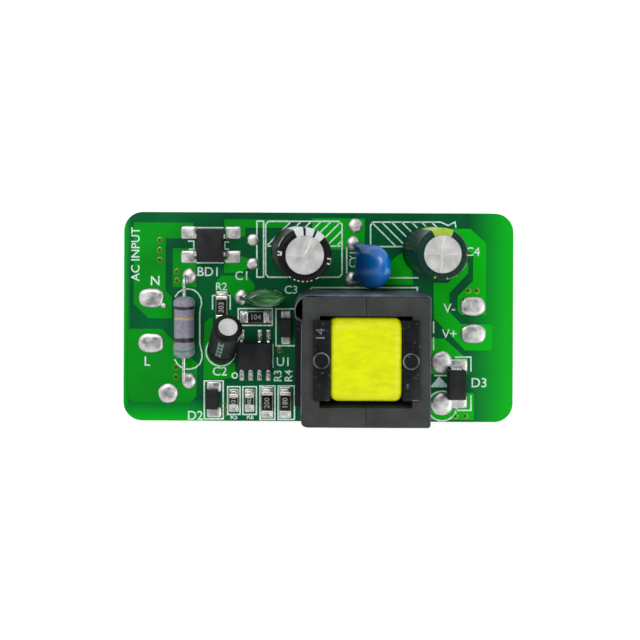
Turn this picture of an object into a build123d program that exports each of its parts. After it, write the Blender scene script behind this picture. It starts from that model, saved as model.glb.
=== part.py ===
from build123d import *
from math import cos, pi, radians, sin, sqrt
import os

# An open frame power supply: a small mains driver board with every part on its upper side.
# Millimetres. X runs along the board, Y across it, Z up. The origin is on the ground under
# the middle of the board, which stands on the trimmed ends of its leads.

os.makedirs("parts", exist_ok=True)

# Board
BOARD_LENGTH = 56.0
BOARD_WIDTH = 30.0
BOARD_THICKNESS = 1.6
BOARD_CORNER = 2.7
COPPER = 0.06
LEAD_STANDOFF = 1.5
UNDERSIDE = LEAD_STANDOFF
TOPSIDE = UNDERSIDE + BOARD_THICKNESS
PAD_TOP = TOPSIDE + COPPER
VIA_HOLE = 0.4
VIAS = [
    (-22.85, 10.95), (-22.85, 9.5), (-22.85, 8.1), (-20.35, 6.45), (-20.35, 5.15),
    (-20.45, -7.3), (-20.45, -8.7), (-5.55, -4.75), (-13.5, -12.8), (-13.5, -13.95),
    (21.5, 3.9), (22.7, 3.9), (19.75, -14.15), (21.15, -14.15),
]

# Sides of the round forms
WIRE_SIDES = 8
JOINT_SIDES = 8
UNDER_SIDES = 8
VIA_SIDES = 6
CAN_SIDES = 24
SEAL_SIDES = 16
ROD_SIDES = 20

# Transformer: a low core pair whose winding lies flush in its window
CORE_CENTRE = (6.08, -4.73)
CORE_LENGTH = 16.9
CORE_WIDTH = 17.2
CORE_HEIGHT = 7.4
CORE_LIFT = 1.5
CORE_BACK = 2.3
CORE_LEG = 2.54
CORE_POST_WIDTH = 5.4
CORE_POST_HEIGHT = 3.2
CORE_CORNER = 0.3
CORE_WORN_CORNER = 0.85
CORE_TAPE = 0.15
TAPE_DROP = 0.25
TAPE_BULGE = (-1.2, 1.9)
TAPE_BULGE_RADIUS = 2.25
SEAM_CHAMFER = 0.12
COIL_CENTRE_Y = -4.45
COIL_LENGTH = 9.5
COIL_WIDTH = 11.1
COIL_HEIGHT = 8.8
COIL_CORNER = 1.6
COIL_TAPE = 0.15
BOBBIN_WALL = 0.7
CHEEK = 0.9
CHEEK_WIDTH = 10.6
LEDGE_WIDTH = 2.26
LEDGE_THICKNESS = 0.6
RAIL_OVERHANG = 1.0
RAIL_WIDTH = 15.6
RAIL_GAP = 0.1
PIN_IN_RAIL = 1.0
PIN_PITCH = 3.5
PIN = 0.6

# Can capacitors: where each stands, how it leans, its size and its vent
SLEEVE = 0.14
SEAL_RIM = 0.3
SEAL_DEPTH = 0.9
SCORE_WIDTH = 0.2
SCORE_DEPTH = 0.1
SCORE_REACH = 0.44
GROOVE_HEIGHT = 1.65
GROOVE_DEPTH = 0.28
GROOVE_HALF_WIDTH = 0.45
SHOULDER = 0.7
SHOULDER_BREAK = 0.2
CAN_LEAD = 0.5
CAN_LEAD_KNEE = 0.45
CAN_LEAD_BEND = 0.15
CAN_CAPACITORS = {
    "input_capacitor": dict(
        seat=(-3.35, 9.54), lift=0.42, lean=6.0, heading=0.0, lead_line=90.0,
        diameter=7.1, length=11.8, disc=4.96, pitch=2.5, scores=(68, 180, 300),
    ),
    "output_capacitor": dict(
        seat=(15.31, 9.70), lift=0.16, lean=1.7, heading=0.0, lead_line=90.0,
        diameter=6.8, length=11.3, disc=4.88, pitch=2.5, scores=(0, 84, 180, 266),
    ),
    "bias_capacitor": dict(
        seat=(-13.8, -4.72), lift=1.32, lean=36.0, heading=71.0, lead_line=-19.0,
        diameter=4.1, length=8.0, disc=2.56, pitch=1.9, scores=(),
    ),
}

# Fusible resistor
RESISTOR_AXIS_X = -19.05
RESISTOR_MIDDLE_Y = -1.3
RESISTOR_LENGTH = 8.7
RESISTOR_DIAMETER = 3.05
RESISTOR_WAIST = 2.84
RESISTOR_HEIGHT = 1.62
RESISTOR_FEET = [(-18.8, 5.8), (-18.8, -9.2)]
RESISTOR_LEAD = 0.5
RESISTOR_LEAD_BEND = 0.9
RESISTOR_CAP = 1.6
RESISTOR_STEP = 0.5

# Blue disc capacitor, leaning towards +X
DISC_CENTRE = (7.5, 7.5, 2.97)
DISC_RADIUS = 3.1
DISC_HALF_THICKNESS = 1.45
DISC_LEAN = 42.0
DISC_PROFILE = [(0.25, 1), (0.6, 0.89), (0.86, 0.58), (1, 0.16)]
DISC_FEET = [(4.9, 10.6), (4.8, 5.45)]
DISC_LEAD = 0.5
DISC_LEAD_BEND = 0.5
DISC_LEAD_KNEE = 0.75
DISC_LEAD_STARTS = [(2.2, 1.6), (-1.2, 2.2)]
NECK_RADIUS = 0.85
NECK_REACH = 0.75
NECK_TIP = 0.53

# Green dipped film capacitor
FILM_CENTRE = (-8.1, 2.95)
FILM_SIDE_RADIUS = 4.7
FILM_WIDTH = 2.45
FILM_HALF_LENGTH = 2.95
FILM_STEPS = [-0.93, -0.78, -0.52, -0.26, 0, 0.26, 0.52, 0.78, 0.93]
FILM_RINGS = [(0, 0.76), (0.5, 1), (4.9, 1), (5.5, 0.9), (5.78, 0.74), (5.9, 0.5)]
FILM_LIFT = 1.0
FILM_LEAN = 9.0
FILM_HEADING = 28.0
FILM_FEET = [(-11.1, 2.8), (-6.1, 2.8)]
FILM_LEAD = 0.5
FILM_LEAD_BEND = 0.2
FILM_LEAD_KNEE = 0.5
FILM_LEAD_REACH = 2.1
FILM_LEAD_IN_BODY = 1.1

# Moulded packages: middle of the body, size along X and Y, stand-off, height and parting line
BRIDGE = dict(centre=(-15.5, 10.3), size=(3.85, 4.7), gap=0.15, height=2.4, parting=1.25)
CONTROLLER = dict(centre=(-9.06, -5.5), size=(4.9, 3.9), gap=0.12, height=1.5, parting=0.8)
RECTIFIER = dict(centre=(19.65, -9.35), size=(2.6, 4.2), gap=0.1, height=2.2, parting=1.15)
SNUBBER_DIODE = dict(
    centre=(-4.65, -1.5), size=(1.75, 2.75), gap=0.05, height=1.05, parting=0.25
)
BIAS_DIODE = dict(centre=(-15.2, -11.8), size=(1.75, 2.8), gap=0.05, height=1.05, parting=0.25)
DRAFT = 7.0

# Their flat leads: thickness, width, how far they reach and how deep they sit in the body
STRIP = 0.2
STRIP_IN_BODY = 0.4
BRIDGE_LEAD_PITCH = 2.54
BRIDGE_LEAD_WIDTH = 0.64
BRIDGE_LEAD_SHOULDER = 0.35
BRIDGE_LEAD_REACH = 1.3
CONTROLLER_PITCH = 1.27
CONTROLLER_PIN_WIDTH = 0.4
CONTROLLER_PIN_SHOULDER = 0.3
CONTROLLER_PIN_REACH = 1.05
CONTROLLER_LOWER_PINS = [CONTROLLER["centre"][0] + (i - 1.5) * CONTROLLER_PITCH for i in range(4)]
CONTROLLER_UPPER_PINS = [CONTROLLER["centre"][0] + (i - 1.5) * CONTROLLER_PITCH for i in (0, 2, 3)]
RECTIFIER_TAB_WIDTH = 1.5
RECTIFIER_TAB_REACH = 0.35
DIODE_TAB_WIDTH = 1.0
DIODE_TAB_REACH = 0.45
TAB_IN_BODY = 0.6

# Chip resistors: middle, length, width and the direction of their length
CHIP_HEIGHT = 0.55
CHIP_CAP = 0.5
CHIP_PLATING = 0.04
GLAZE_MARGIN = 0.04
CHIP_PAD = 1.2
CHIP_PAD_OFFSET = 0.1
CHIPS = {
    "chip_resistor_1": dict(centre=(-13.9, 1.4), length=3.2, width=1.6, along="Y"),
    "chip_resistor_2": dict(centre=(-9.0, 0.0), length=3.2, width=1.6, along="X"),
    "chip_resistor_3": dict(centre=(-7.3, -12.25), length=3.2, width=1.6, along="Y"),
    "chip_resistor_4": dict(centre=(-4.7, -12.25), length=3.2, width=1.6, along="Y"),
    "chip_resistor_5": dict(centre=(-12.1, -12.0), length=2.0, width=1.25, along="Y"),
    "chip_resistor_6": dict(centre=(-9.84, -12.0), length=2.0, width=1.25, along="Y"),
}

# Wire lands and solder-filled holes: middle and size
WIRE_LANDS = [(-24.0, 2.66), (-24.0, -3.8), (22.2, 1.67), (22.3, -2.3)]
LAND_SIZE = (3.7, 2.8)
LAND_RISE = 0.4
LAND_TIP = 0.72
FILLED_HOLES = [
    ((-21.55, -11.0), 2.9), ((5.27, 13.17), 2.1), ((-9.48, 11.05), 1.8), ((-9.48, 7.61), 1.8),
    ((17.7, -6.4), 3.2), ((17.8, -12.4), 3.3),
]
DOME_RISE = 0.5
FILLET_RISE = 0.55
FILLET_TIP = 0.48
UNDER_TIP = 0.45
DOME_TIP = 0.5
SOLDER_FILM = 0.09
CHIP_FILLET = (0.5, 0.4)
FOOT_PAD = (1.9, 2.3)
UNDER_JOINT = 1.7

# Pads of the moulded packages: middle, then length along X and Y
BRIDGE_PADS = [(x, y, 2.3, 1.85) for x in (-18.65, -12.35) for y in (12.07, 8.58)]
BIAS_DIODE_PADS = [(-14.95, y, 2.1, 1.5) for y in (-13.75, -10.05)]
SNUBBER_DIODE_PADS = [(-4.65, y, 1.5, 1.4) for y in (-3.25, 0.25)]
RECTIFIER_PADS = [(20.25, y, 2.4, 1.9) for y in (-12.05, -6.85)]
CONTROLLER_PADS = [(x, -8.4, 0.7, 1.6) for x in CONTROLLER_LOWER_PINS]
CONTROLLER_PADS += [(x, -2.6, 0.7, 1.6) for x in CONTROLLER_UPPER_PINS]

# Where the transformer's pins and the can capacitors' leads go through the board
PIN_COLUMNS = (
    CORE_CENTRE[0] - CORE_LENGTH / 2 - 0.1,
    CORE_CENTRE[0] + CORE_LENGTH / 2 + 0.1,
)
PIN_PLACES = [
    (x, CORE_CENTRE[1] + (row - 1.5) * PIN_PITCH) for x in PIN_COLUMNS for row in range(4)
]


def oval_corners(length, width, sides):
    """Corners of an even-sided polygon round an oval."""
    turns = [2 * pi * (step + 0.5) / sides for step in range(sides)]
    return [(cos(turn) * length / 2, sin(turn) * width / 2) for turn in turns]


def slot_corners(length, width):
    """Corners of a bar with round ends."""
    middle = (length - width) / 2
    corners = []
    for side in (1, -1):
        for step in range(7):
            turn = pi / 2 * (step / 3 - 1)
            corners.append((side * (middle + cos(turn) * width / 2), side * sin(turn) * width / 2))
    return corners


def flat_sided(corners, base, rings):
    """A closed solid with flat faces: the corners scaled to each ring's share at its height."""
    levels = [
        [base.from_local_coords(Vector(x * share, y * share, height)) for x, y in corners]
        for height, share in rings
    ]
    faces = [Face(Wire.make_polygon(levels[0])), Face(Wire.make_polygon(levels[-1]))]
    for low, high in zip(levels, levels[1:]):
        for step in range(len(corners)):
            faces.append(Face(Wire.make_polygon([low[step - 1], low[step], high[step], high[step - 1]])))
    return Solid(Shell(faces))


def mound(place, level, rise, corners, share):
    """Solder that stands on a level and narrows to a share of its size at its flat top."""
    return flat_sided(corners, Plane((*place, level)), [(0, 1), (rise, share)])


def flat_turned(profile, base, sides):
    """A flat-sided solid of revolution: (radius, height) rows up the base plane's own Z."""
    widest = max(radius for radius, height in profile)
    corners = oval_corners(2 * widest, 2 * widest, sides)
    return flat_sided(corners, base, [(height, radius / widest) for radius, height in profile])


def wire(points, bend, diameter):
    """A wire through the points, each corner eased over the bend length on both sides."""
    route = [points[0]]
    for before, corner, after in zip(points, points[1:], points[2:]):
        first = corner + (before - corner).normalized() * bend
        last = corner + (after - corner).normalized() * bend
        route += [first, corner * 0.5 + (first + last) * 0.25, last]
    route.append(points[-1])
    with BuildPart() as strand:
        with BuildLine() as run:
            Polyline(*route)
        with BuildSketch(Plane(run.line @ 0, z_dir=run.line % 0)):
            RegularPolygon(diameter / 2, WIRE_SIDES)
        sweep(path=run.line, transition=Transition.RIGHT)
    return strand.part


def can_plane(seat, lift, lean, heading, lead_line, **rest):
    """The plane of a can's lower end, its X along the row of leads."""
    tilt, turn, line = radians(lean), radians(heading), radians(lead_line)
    axis = Vector(sin(tilt) * cos(turn), sin(tilt) * sin(turn), cos(tilt))
    across = Vector(cos(line), sin(line), 0)
    across = (across - axis * across.dot(axis)).normalized()
    return Plane((*seat, PAD_TOP + lift), x_dir=across, z_dir=axis)


def can_knees(can):
    """The two points where a can's leads turn from its axis to straight down."""
    seat_plane = can_plane(**can)
    knees = []
    for side in (-1, 1):
        exit_point = seat_plane.from_local_coords(Vector(side * can["pitch"] / 2, 0, 0))
        slide = (exit_point.Z - PAD_TOP - CAN_LEAD_KNEE) / seat_plane.z_dir.Z
        knees.append(exit_point - seat_plane.z_dir * slide)
    return knees


CAN_KNEES = {name: can_knees(can) for name, can in CAN_CAPACITORS.items()}
CAN_FEET = [(knee.X, knee.Y) for knees in CAN_KNEES.values() for knee in knees]
VISIBLE_FEET = RESISTOR_FEET + DISC_FEET + FILM_FEET


def chip_pads():
    """Middle and size of the two pads of every chip resistor."""
    places = []
    for chip in CHIPS.values():
        x, y = chip["centre"]
        for side in (-1, 1):
            reach = side * (chip["length"] / 2 + CHIP_PAD_OFFSET)
            if chip["along"] == "Y":
                places.append((x, y + reach, chip["width"] + 0.2, CHIP_PAD))
            else:
                places.append((x + reach, y, CHIP_PAD, chip["width"] + 0.2))
    return places


SURFACE_PADS = (
    chip_pads() + BRIDGE_PADS + BIAS_DIODE_PADS + SNUBBER_DIODE_PADS + RECTIFIER_PADS
    + CONTROLLER_PADS
)


def copper_areas_top():
    """Add the mask-covered copper areas of the upper side to the open sketch."""
    # N input, from the bridge down to the land
    Polygon(
        (-26.6, 13.5), (-18.0, 13.5), (-17.9, 11.2), (-22.0, 11.2), (-22.0, 3.7),
        (-21.1, 2.8), (-21.1, -0.3), (-24.4, -0.3), (-26.6, 1.8), align=None,
    )
    # Bridge to the upper end of the fusible resistor
    with Locations((-19.3, 7.0)):
        Rectangle(3.4, 5.6)
    # L input, from the land to the lower end of the fusible resistor
    Polygon(
        (-27.0, -1.8), (-22.5, -1.8), (-21.2, -3.1), (-18.3, -5.9), (-17.4, -6.7),
        (-17.5, -11.5), (-18.4, -12.4), (-26.6, -12.4), (-27.4, -11.7), (-27.4, -2.2),
        align=None,
    )
    # Bridge output and first storage capacitor
    Polygon(
        (-13.6, 14.0), (-4.5, 14.0), (-4.5, 12.8), (-10.6, 12.8), (-10.6, 11.6),
        (-13.6, 11.2), align=None,
    )
    Polygon(
        (-13.6, 9.3), (-11.6, 9.0), (-10.4, 8.4), (-8.6, 8.4), (-8.6, 6.9),
        (-10.3, 6.9), (-11.2, 6.3), (-13.6, 6.3), align=None,
    )
    # Storage capacitor to the disc capacitor's upper lead
    Polygon(
        (-1.0, 14.2), (6.6, 14.2), (6.6, 9.7), (3.9, 9.7), (-1.0, 9.7), align=None,
    )
    # Under the film capacitor, and down towards the controller
    Polygon(
        (-14.6, 5.2), (-13.9, 5.9), (-10.3, 5.9), (-9.2, 4.6), (-9.2, 1.9), (-11.8, 1.9),
        (-12.6, 3.3), (-14.6, 3.9), align=None,
    )
    # Under the bias capacitor
    Polygon(
        (-16.4, -0.9), (-15.6, -0.2), (-15.2, -0.2), (-15.2, -3.4), (-12.4, -6.6),
        (-11.9, -6.6), (-11.9, -8.8), (-14.0, -9.0), (-16.5, -9.0), align=None,
    )
    # Under the disc capacitor, and between it and the output capacitor
    Polygon((11.0, 8.6), (13.2, 10.2), (13.6, 4.7), (8.0, 4.7), (8.0, 6.0), align=None)
    # Negative output
    Polygon(
        (18.0, 12.8), (21.8, 12.8), (24.1, 10.7), (24.1, 0.4), (20.6, 0.4), (20.0, 1.0),
        (20.0, 3.1), (22.2, 5.3), (22.2, 8.9), (20.5, 10.6), align=None,
    )
    # Positive output
    Polygon(
        (16.5, 5.0), (16.6, -0.1), (21.1, -4.7), (24.7, -4.7), (25.0, -4.4), (25.0, -1.2),
        (24.7, -0.9), (20.5, -0.9), (18.8, 0.9), (18.8, 3.5), (21.5, 6.4), (21.5, 8.0),
        (18.6, 5.0), align=None,
    )
    # Rectifier
    Polygon(
        (16.2, -3.0), (18.1, -3.0), (20.8, -5.4), (21.5, -5.9), (21.5, -8.1), (16.2, -8.1),
        align=None,
    )
    Polygon(
        (16.2, -10.8), (22.4, -10.8), (22.4, -14.7), (15.4, -14.7), (15.4, -10.8), align=None,
    )


def pads():
    """Add the bare pads that joints, lands and chip parts are soldered to."""
    with Locations(*WIRE_LANDS):
        Polygon(*slot_corners(*LAND_SIZE), align=None)
    for place, diameter in FILLED_HOLES:
        with Locations(place):
            Polygon(*oval_corners(diameter, diameter, JOINT_SIDES), align=None)
    with Locations(*VISIBLE_FEET):
        Polygon(*oval_corners(*FOOT_PAD, JOINT_SIDES), align=None)


# Solder on the lower side: a cone of solder round each trimmed lead end; the board stands on them
with BuildPart() as lower_solder:
    round_joint = oval_corners(UNDER_JOINT, UNDER_JOINT, UNDER_SIDES)
    for place in VISIBLE_FEET + CAN_FEET + PIN_PLACES:
        add(mound(place, UNDERSIDE, -UNDERSIDE, round_joint, UNDER_TIP))
    for place, diameter in FILLED_HOLES:
        round_dome = oval_corners(diameter, diameter, JOINT_SIDES)
        add(mound(place, UNDERSIDE, -DOME_RISE, round_dome, DOME_TIP))
lower_solder.part.label = "lower_solder"
export_step(lower_solder.part, "parts/lower_solder.step")

# Wire lands: solder-filled ovals for the four wires, proud of both faces of the board
with BuildPart() as wire_lands:
    for place in WIRE_LANDS:
        add(mound(place, PAD_TOP, LAND_RISE, slot_corners(*LAND_SIZE), LAND_TIP))
        add(mound(place, UNDERSIDE, -LAND_RISE, slot_corners(*LAND_SIZE), LAND_TIP))
wire_lands.part.label = "wire_lands"
export_step(wire_lands.part, "parts/wire_lands.step")


def moulded_body(centre, size, gap, height, parting, leads):
    """A moulded block that narrows both ways from its parting line, round its own leads."""
    low = PAD_TOP + gap
    middle = PAD_TOP + parting
    with BuildPart() as body:
        for amount in (PAD_TOP + height - middle, low - middle):
            with BuildSketch(Plane.XY.offset(middle)):
                with Locations(centre):
                    Rectangle(*size)
            extrude(amount=amount, taper=DRAFT)
        add(leads, mode=Mode.SUBTRACT)
    return body.part


def gull_wing(start, shoulder, foot, rise):
    """Corners of a lead strip that leaves a body at rise, drops at shoulder and ends at foot."""
    half = STRIP / 2
    return [
        (start, rise - half), (shoulder - half, rise - half), (shoulder - half, 0),
        (foot, 0), (foot, STRIP), (shoulder + half, STRIP), (shoulder + half, rise + half),
        (start, rise + half),
    ]


# Bridge rectifier: four flat leads in two pairs
with BuildPart() as bridge_leads:
    x, y = BRIDGE["centre"]
    reach = BRIDGE["size"][0] / 2
    shoulder, foot = reach + BRIDGE_LEAD_SHOULDER, reach + BRIDGE_LEAD_REACH
    strip = gull_wing(reach - STRIP_IN_BODY, shoulder, foot, BRIDGE["parting"])
    for side in (-1, 1):
        for row in (-1, 1):
            lead_y = y + row * BRIDGE_LEAD_PITCH / 2
            with BuildSketch(Plane((x, lead_y, PAD_TOP), x_dir=(side, 0, 0), z_dir=(0, -side, 0))):
                Polygon(*strip, align=None)
            extrude(amount=BRIDGE_LEAD_WIDTH / 2, both=True)
bridge_leads.part.label = "bridge_leads"
export_step(bridge_leads.part, "parts/bridge_leads.step")
bridge_body = moulded_body(leads=bridge_leads.part, **BRIDGE)
bridge_body.label = "bridge_body"
export_step(bridge_body, "parts/bridge_body.step")

# Controller: four pins below, three above
with BuildPart() as controller_pins:
    x, y = CONTROLLER["centre"]
    reach = CONTROLLER["size"][1] / 2
    shoulder, foot = reach + CONTROLLER_PIN_SHOULDER, reach + CONTROLLER_PIN_REACH
    strip = gull_wing(reach - STRIP_IN_BODY, shoulder, foot, CONTROLLER["parting"])
    for side, columns in ((-1, CONTROLLER_LOWER_PINS), (1, CONTROLLER_UPPER_PINS)):
        for column in columns:
            with BuildSketch(Plane((column, y, PAD_TOP), x_dir=(0, side, 0), z_dir=(side, 0, 0))):
                Polygon(*strip, align=None)
            extrude(amount=CONTROLLER_PIN_WIDTH / 2, both=True)
controller_pins.part.label = "controller_pins"
export_step(controller_pins.part, "parts/controller_pins.step")
controller_body = moulded_body(leads=controller_pins.part, **CONTROLLER)
controller_body.label = "controller_body"
export_step(controller_body, "parts/controller_body.step")


def tab_pair(package, width, corners):
    """Two strips under the ends of a diode, their corners measured out from its middle."""
    x, y = package["centre"]
    with BuildPart() as tabs:
        for side in (-1, 1):
            with BuildSketch(Plane((x, y, PAD_TOP), x_dir=(0, side, 0), z_dir=(side, 0, 0))):
                Polygon(*corners, align=None)
            extrude(amount=width / 2, both=True)
    return tabs.part


# Output rectifier: leads that leave its ends, fold down and turn in under it
half = RECTIFIER["size"][1] / 2
outside = half + RECTIFIER_TAB_REACH
rectifier_leads = tab_pair(RECTIFIER, RECTIFIER_TAB_WIDTH, [
    (half - STRIP_IN_BODY, RECTIFIER["parting"] - STRIP / 2),
    (outside - STRIP, RECTIFIER["parting"] - STRIP / 2),
    (outside - STRIP, STRIP), (half - TAB_IN_BODY, STRIP), (half - TAB_IN_BODY, 0), (outside, 0),
    (outside, RECTIFIER["parting"] + STRIP / 2),
    (half - STRIP_IN_BODY, RECTIFIER["parting"] + STRIP / 2),
])
rectifier_leads.label = "rectifier_leads"
export_step(rectifier_leads, "parts/rectifier_leads.step")
rectifier_body = moulded_body(leads=rectifier_leads, **RECTIFIER)
rectifier_body.label = "rectifier_body"
export_step(rectifier_body, "parts/rectifier_body.step")

# Two thin diodes on flat tabs
diode_tabs = []
for name, package in (("snubber_diode", SNUBBER_DIODE), ("bias_diode", BIAS_DIODE)):
    half = package["size"][1] / 2
    inside, outside = half - TAB_IN_BODY, half + DIODE_TAB_REACH
    tabs = tab_pair(package, DIODE_TAB_WIDTH, [
        (inside, 0), (outside, 0), (outside, STRIP), (inside, STRIP),
    ])
    tabs.label = f"{name}_tabs"
    export_step(tabs, f"parts/{name}_tabs.step")
    diode_tabs.append(tabs)
    body = moulded_body(leads=tabs, **package)
    body.label = f"{name}_body"
    export_step(body, f"parts/{name}_body.step")


def chip_plane(chip):
    """The plane of a chip's underside, its X along the chip."""
    x_dir = (0, 1, 0) if chip["along"] == "Y" else (1, 0, 0)
    return Plane((*chip["centre"], PAD_TOP), x_dir=x_dir, z_dir=(0, 0, 1))


# Chip resistors: a ceramic block with a glazed top, and a plated cap over each end
chip_blocks = {}
for name, chip in CHIPS.items():
    with BuildPart() as block:
        with BuildSketch(chip_plane(chip).offset(CHIP_PLATING)):
            Rectangle(chip["length"] - 2 * CHIP_PLATING, chip["width"])
        extrude(amount=CHIP_HEIGHT)
        with BuildSketch(chip_plane(chip).offset(CHIP_PLATING + CHIP_HEIGHT)):
            Rectangle(chip["length"] - 2 * CHIP_CAP, chip["width"] - 2 * GLAZE_MARGIN)
        extrude(amount=CHIP_PLATING)
    block.part.label = name
    export_step(block.part, f"parts/{name}.step")
    chip_blocks[name] = block.part

with BuildPart() as chip_caps:
    for name, chip in CHIPS.items():
        middle = (chip["length"] - CHIP_CAP) / 2
        with BuildSketch(chip_plane(chip)):
            with Locations((-middle, 0), (middle, 0)):
                Rectangle(CHIP_CAP, chip["width"])
        extrude(amount=CHIP_HEIGHT + 2 * CHIP_PLATING)
    for block in chip_blocks.values():
        add(block, mode=Mode.SUBTRACT)
chip_caps.part.label = "chip_caps"
export_step(chip_caps.part, "parts/chip_caps.step")


def can_outline(radius, low, high):
    """Half the outline of a can: a shoulder above, a crimped groove near the foot."""
    groove = low + GROOVE_HEIGHT
    return [
        (radius, low), (radius, groove - GROOVE_HALF_WIDTH), (radius - GROOVE_DEPTH, groove),
        (radius, groove + GROOVE_HALF_WIDTH), (radius, high - SHOULDER),
        (radius - SHOULDER_BREAK, high - SHOULDER_BREAK), (radius - SHOULDER, high),
    ]


# Can capacitors
can_leads = []
for name, can in CAN_CAPACITORS.items():
    seat_plane = can_plane(**can)
    can_radius = can["diameter"] / 2 - SLEEVE
    seal_radius = can_radius - SEAL_RIM

    # Leads: from inside the seal along the can's axis, then straight down into the board
    with BuildPart() as leads:
        for side, knee in zip((-1, 1), CAN_KNEES[name]):
            start = seat_plane.from_local_coords(Vector(side * can["pitch"] / 2, 0, SEAL_DEPTH))
            foot = Vector(knee.X, knee.Y, UNDERSIDE)
            add(wire([start, knee, foot], CAN_LEAD_BEND, CAN_LEAD))
    leads.part.label = f"{name}_leads"
    export_step(leads.part, f"parts/{name}_leads.step")
    can_leads.append(leads.part)

    # Can: one sealed piece with its vent scored in the top, open below for the seal
    with BuildPart() as body:
        add(flat_turned(can_outline(can_radius, SLEEVE, can["length"] - SLEEVE), seat_plane, CAN_SIDES))
        with BuildSketch(seat_plane.offset(SLEEVE)):
            RegularPolygon(seal_radius, SEAL_SIDES)
        extrude(amount=SEAL_DEPTH - SLEEVE, mode=Mode.SUBTRACT)
        for angle in can["scores"]:
            with BuildSketch(seat_plane.offset(can["length"] - SLEEVE)):
                with Locations(Rotation(0, 0, angle - can["lead_line"])):
                    with Locations((can["disc"] * SCORE_REACH / 2, 0)):
                        Rectangle(can["disc"] * SCORE_REACH, SCORE_WIDTH)
            extrude(amount=-SCORE_DEPTH, mode=Mode.SUBTRACT)
    body.part.label = f"{name}_can"
    export_step(body.part, f"parts/{name}_can.step")

    # Sleeve: shrunk over the can, its lip round the top disc and its hem under the rim
    with BuildPart() as sleeve:
        add(flat_turned(can_outline(can["diameter"] / 2, 0, can["length"]), seat_plane, CAN_SIDES))
        with BuildSketch(seat_plane.offset(can["length"])):
            RegularPolygon(can["disc"] / 2, CAN_SIDES)
        extrude(amount=-SLEEVE - SCORE_DEPTH, mode=Mode.SUBTRACT)
        with BuildSketch(seat_plane):
            RegularPolygon(seal_radius, SEAL_SIDES)
        extrude(amount=SEAL_DEPTH, mode=Mode.SUBTRACT)
        add(body.part, mode=Mode.SUBTRACT)
    sleeve.part.label = f"{name}_sleeve"
    export_step(sleeve.part, f"parts/{name}_sleeve.step")

    # Rubber seal in the foot of the can, round the leads
    with BuildPart() as seal:
        with BuildSketch(seat_plane.offset(SLEEVE)):
            RegularPolygon(seal_radius, SEAL_SIDES)
        extrude(amount=SEAL_DEPTH - SLEEVE)
        add(leads.part, mode=Mode.SUBTRACT)
    seal.part.label = f"{name}_seal"
    export_step(seal.part, f"parts/{name}_seal.step")


# Fusible resistor: a coated rod with pressed-on end caps, lying above the board
resistor_middle = Vector(RESISTOR_AXIS_X, RESISTOR_MIDDLE_Y, PAD_TOP + RESISTOR_HEIGHT)
with BuildPart() as resistor_leads:
    for side, (foot_x, foot_y) in zip((1, -1), RESISTOR_FEET):
        inside = resistor_middle + Vector(0, side * (RESISTOR_LENGTH / 2 - RESISTOR_LEAD), 0)
        corner = Vector(foot_x, foot_y, resistor_middle.Z)
        foot = Vector(foot_x, foot_y, UNDERSIDE)
        add(wire([inside, corner, foot], RESISTOR_LEAD_BEND, RESISTOR_LEAD))
resistor_leads.part.label = "resistor_leads"
export_step(resistor_leads.part, "parts/resistor_leads.step")

with BuildPart() as resistor_body:
    end = RESISTOR_LENGTH / 2
    cap = RESISTOR_DIAMETER / 2
    half = [
        (cap * 0.23, end), (cap * 0.82, end - cap * 0.25), (cap, end - cap * 0.75),
        (cap, end - RESISTOR_CAP), (RESISTOR_WAIST / 2, end - RESISTOR_CAP - RESISTOR_STEP),
    ]
    lying = Plane(resistor_middle, x_dir=(1, 0, 0), z_dir=(0, 1, 0))
    profile = [(radius, -along) for radius, along in half]
    profile += [(radius, along) for radius, along in reversed(half)]
    add(flat_turned(profile, lying, ROD_SIDES))
    add(resistor_leads.part, mode=Mode.SUBTRACT)
resistor_body.part.label = "resistor_body"
export_step(resistor_body.part, "parts/resistor_body.step")

# Blue disc capacitor: a dipped disc that leans over, its coat running down both leads
lean = radians(DISC_LEAN)
disc_up = Vector(sin(lean), 0, cos(lean))
disc_out = Vector(cos(lean), 0, -sin(lean))
disc_centre = Vector(DISC_CENTRE[0], DISC_CENTRE[1], TOPSIDE + DISC_CENTRE[2])
neck_ends = [disc_centre + Vector(0, along, 0) - disc_up * down for along, down in DISC_LEAD_STARTS]
with BuildPart() as disc_leads:
    for (foot_x, foot_y), inside in zip(DISC_FEET, neck_ends):
        knee = Vector(foot_x, foot_y, PAD_TOP + DISC_LEAD_KNEE)
        foot = Vector(foot_x, foot_y, UNDERSIDE)
        add(wire([inside, knee, foot], DISC_LEAD_BEND, DISC_LEAD))
disc_leads.part.label = "disc_capacitor_leads"
export_step(disc_leads.part, "parts/disc_capacitor_leads.step")

with BuildPart() as disc_body:
    half = [(DISC_RADIUS * r, DISC_HALF_THICKNESS * t) for r, t in DISC_PROFILE]
    profile = [(radius, -out) for radius, out in half]
    profile += [(radius, out) for radius, out in reversed(half)]
    add(flat_turned(profile, Plane(disc_centre, x_dir=disc_up, z_dir=disc_out), CAN_SIDES))
    for (foot_x, foot_y), inside in zip(DISC_FEET, neck_ends):
        run = Vector(foot_x, foot_y, PAD_TOP + DISC_LEAD_KNEE) - inside
        neck = oval_corners(2 * NECK_RADIUS, 2 * NECK_RADIUS, JOINT_SIDES)
        tip = (run.length * NECK_REACH, NECK_TIP)
        add(flat_sided(neck, Plane(inside, z_dir=run), [(0, 1), tip]))
    add(disc_leads.part, mode=Mode.SUBTRACT)
disc_body.part.label = "disc_capacitor_body"
export_step(disc_body.part, "parts/disc_capacitor_body.step")

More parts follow.
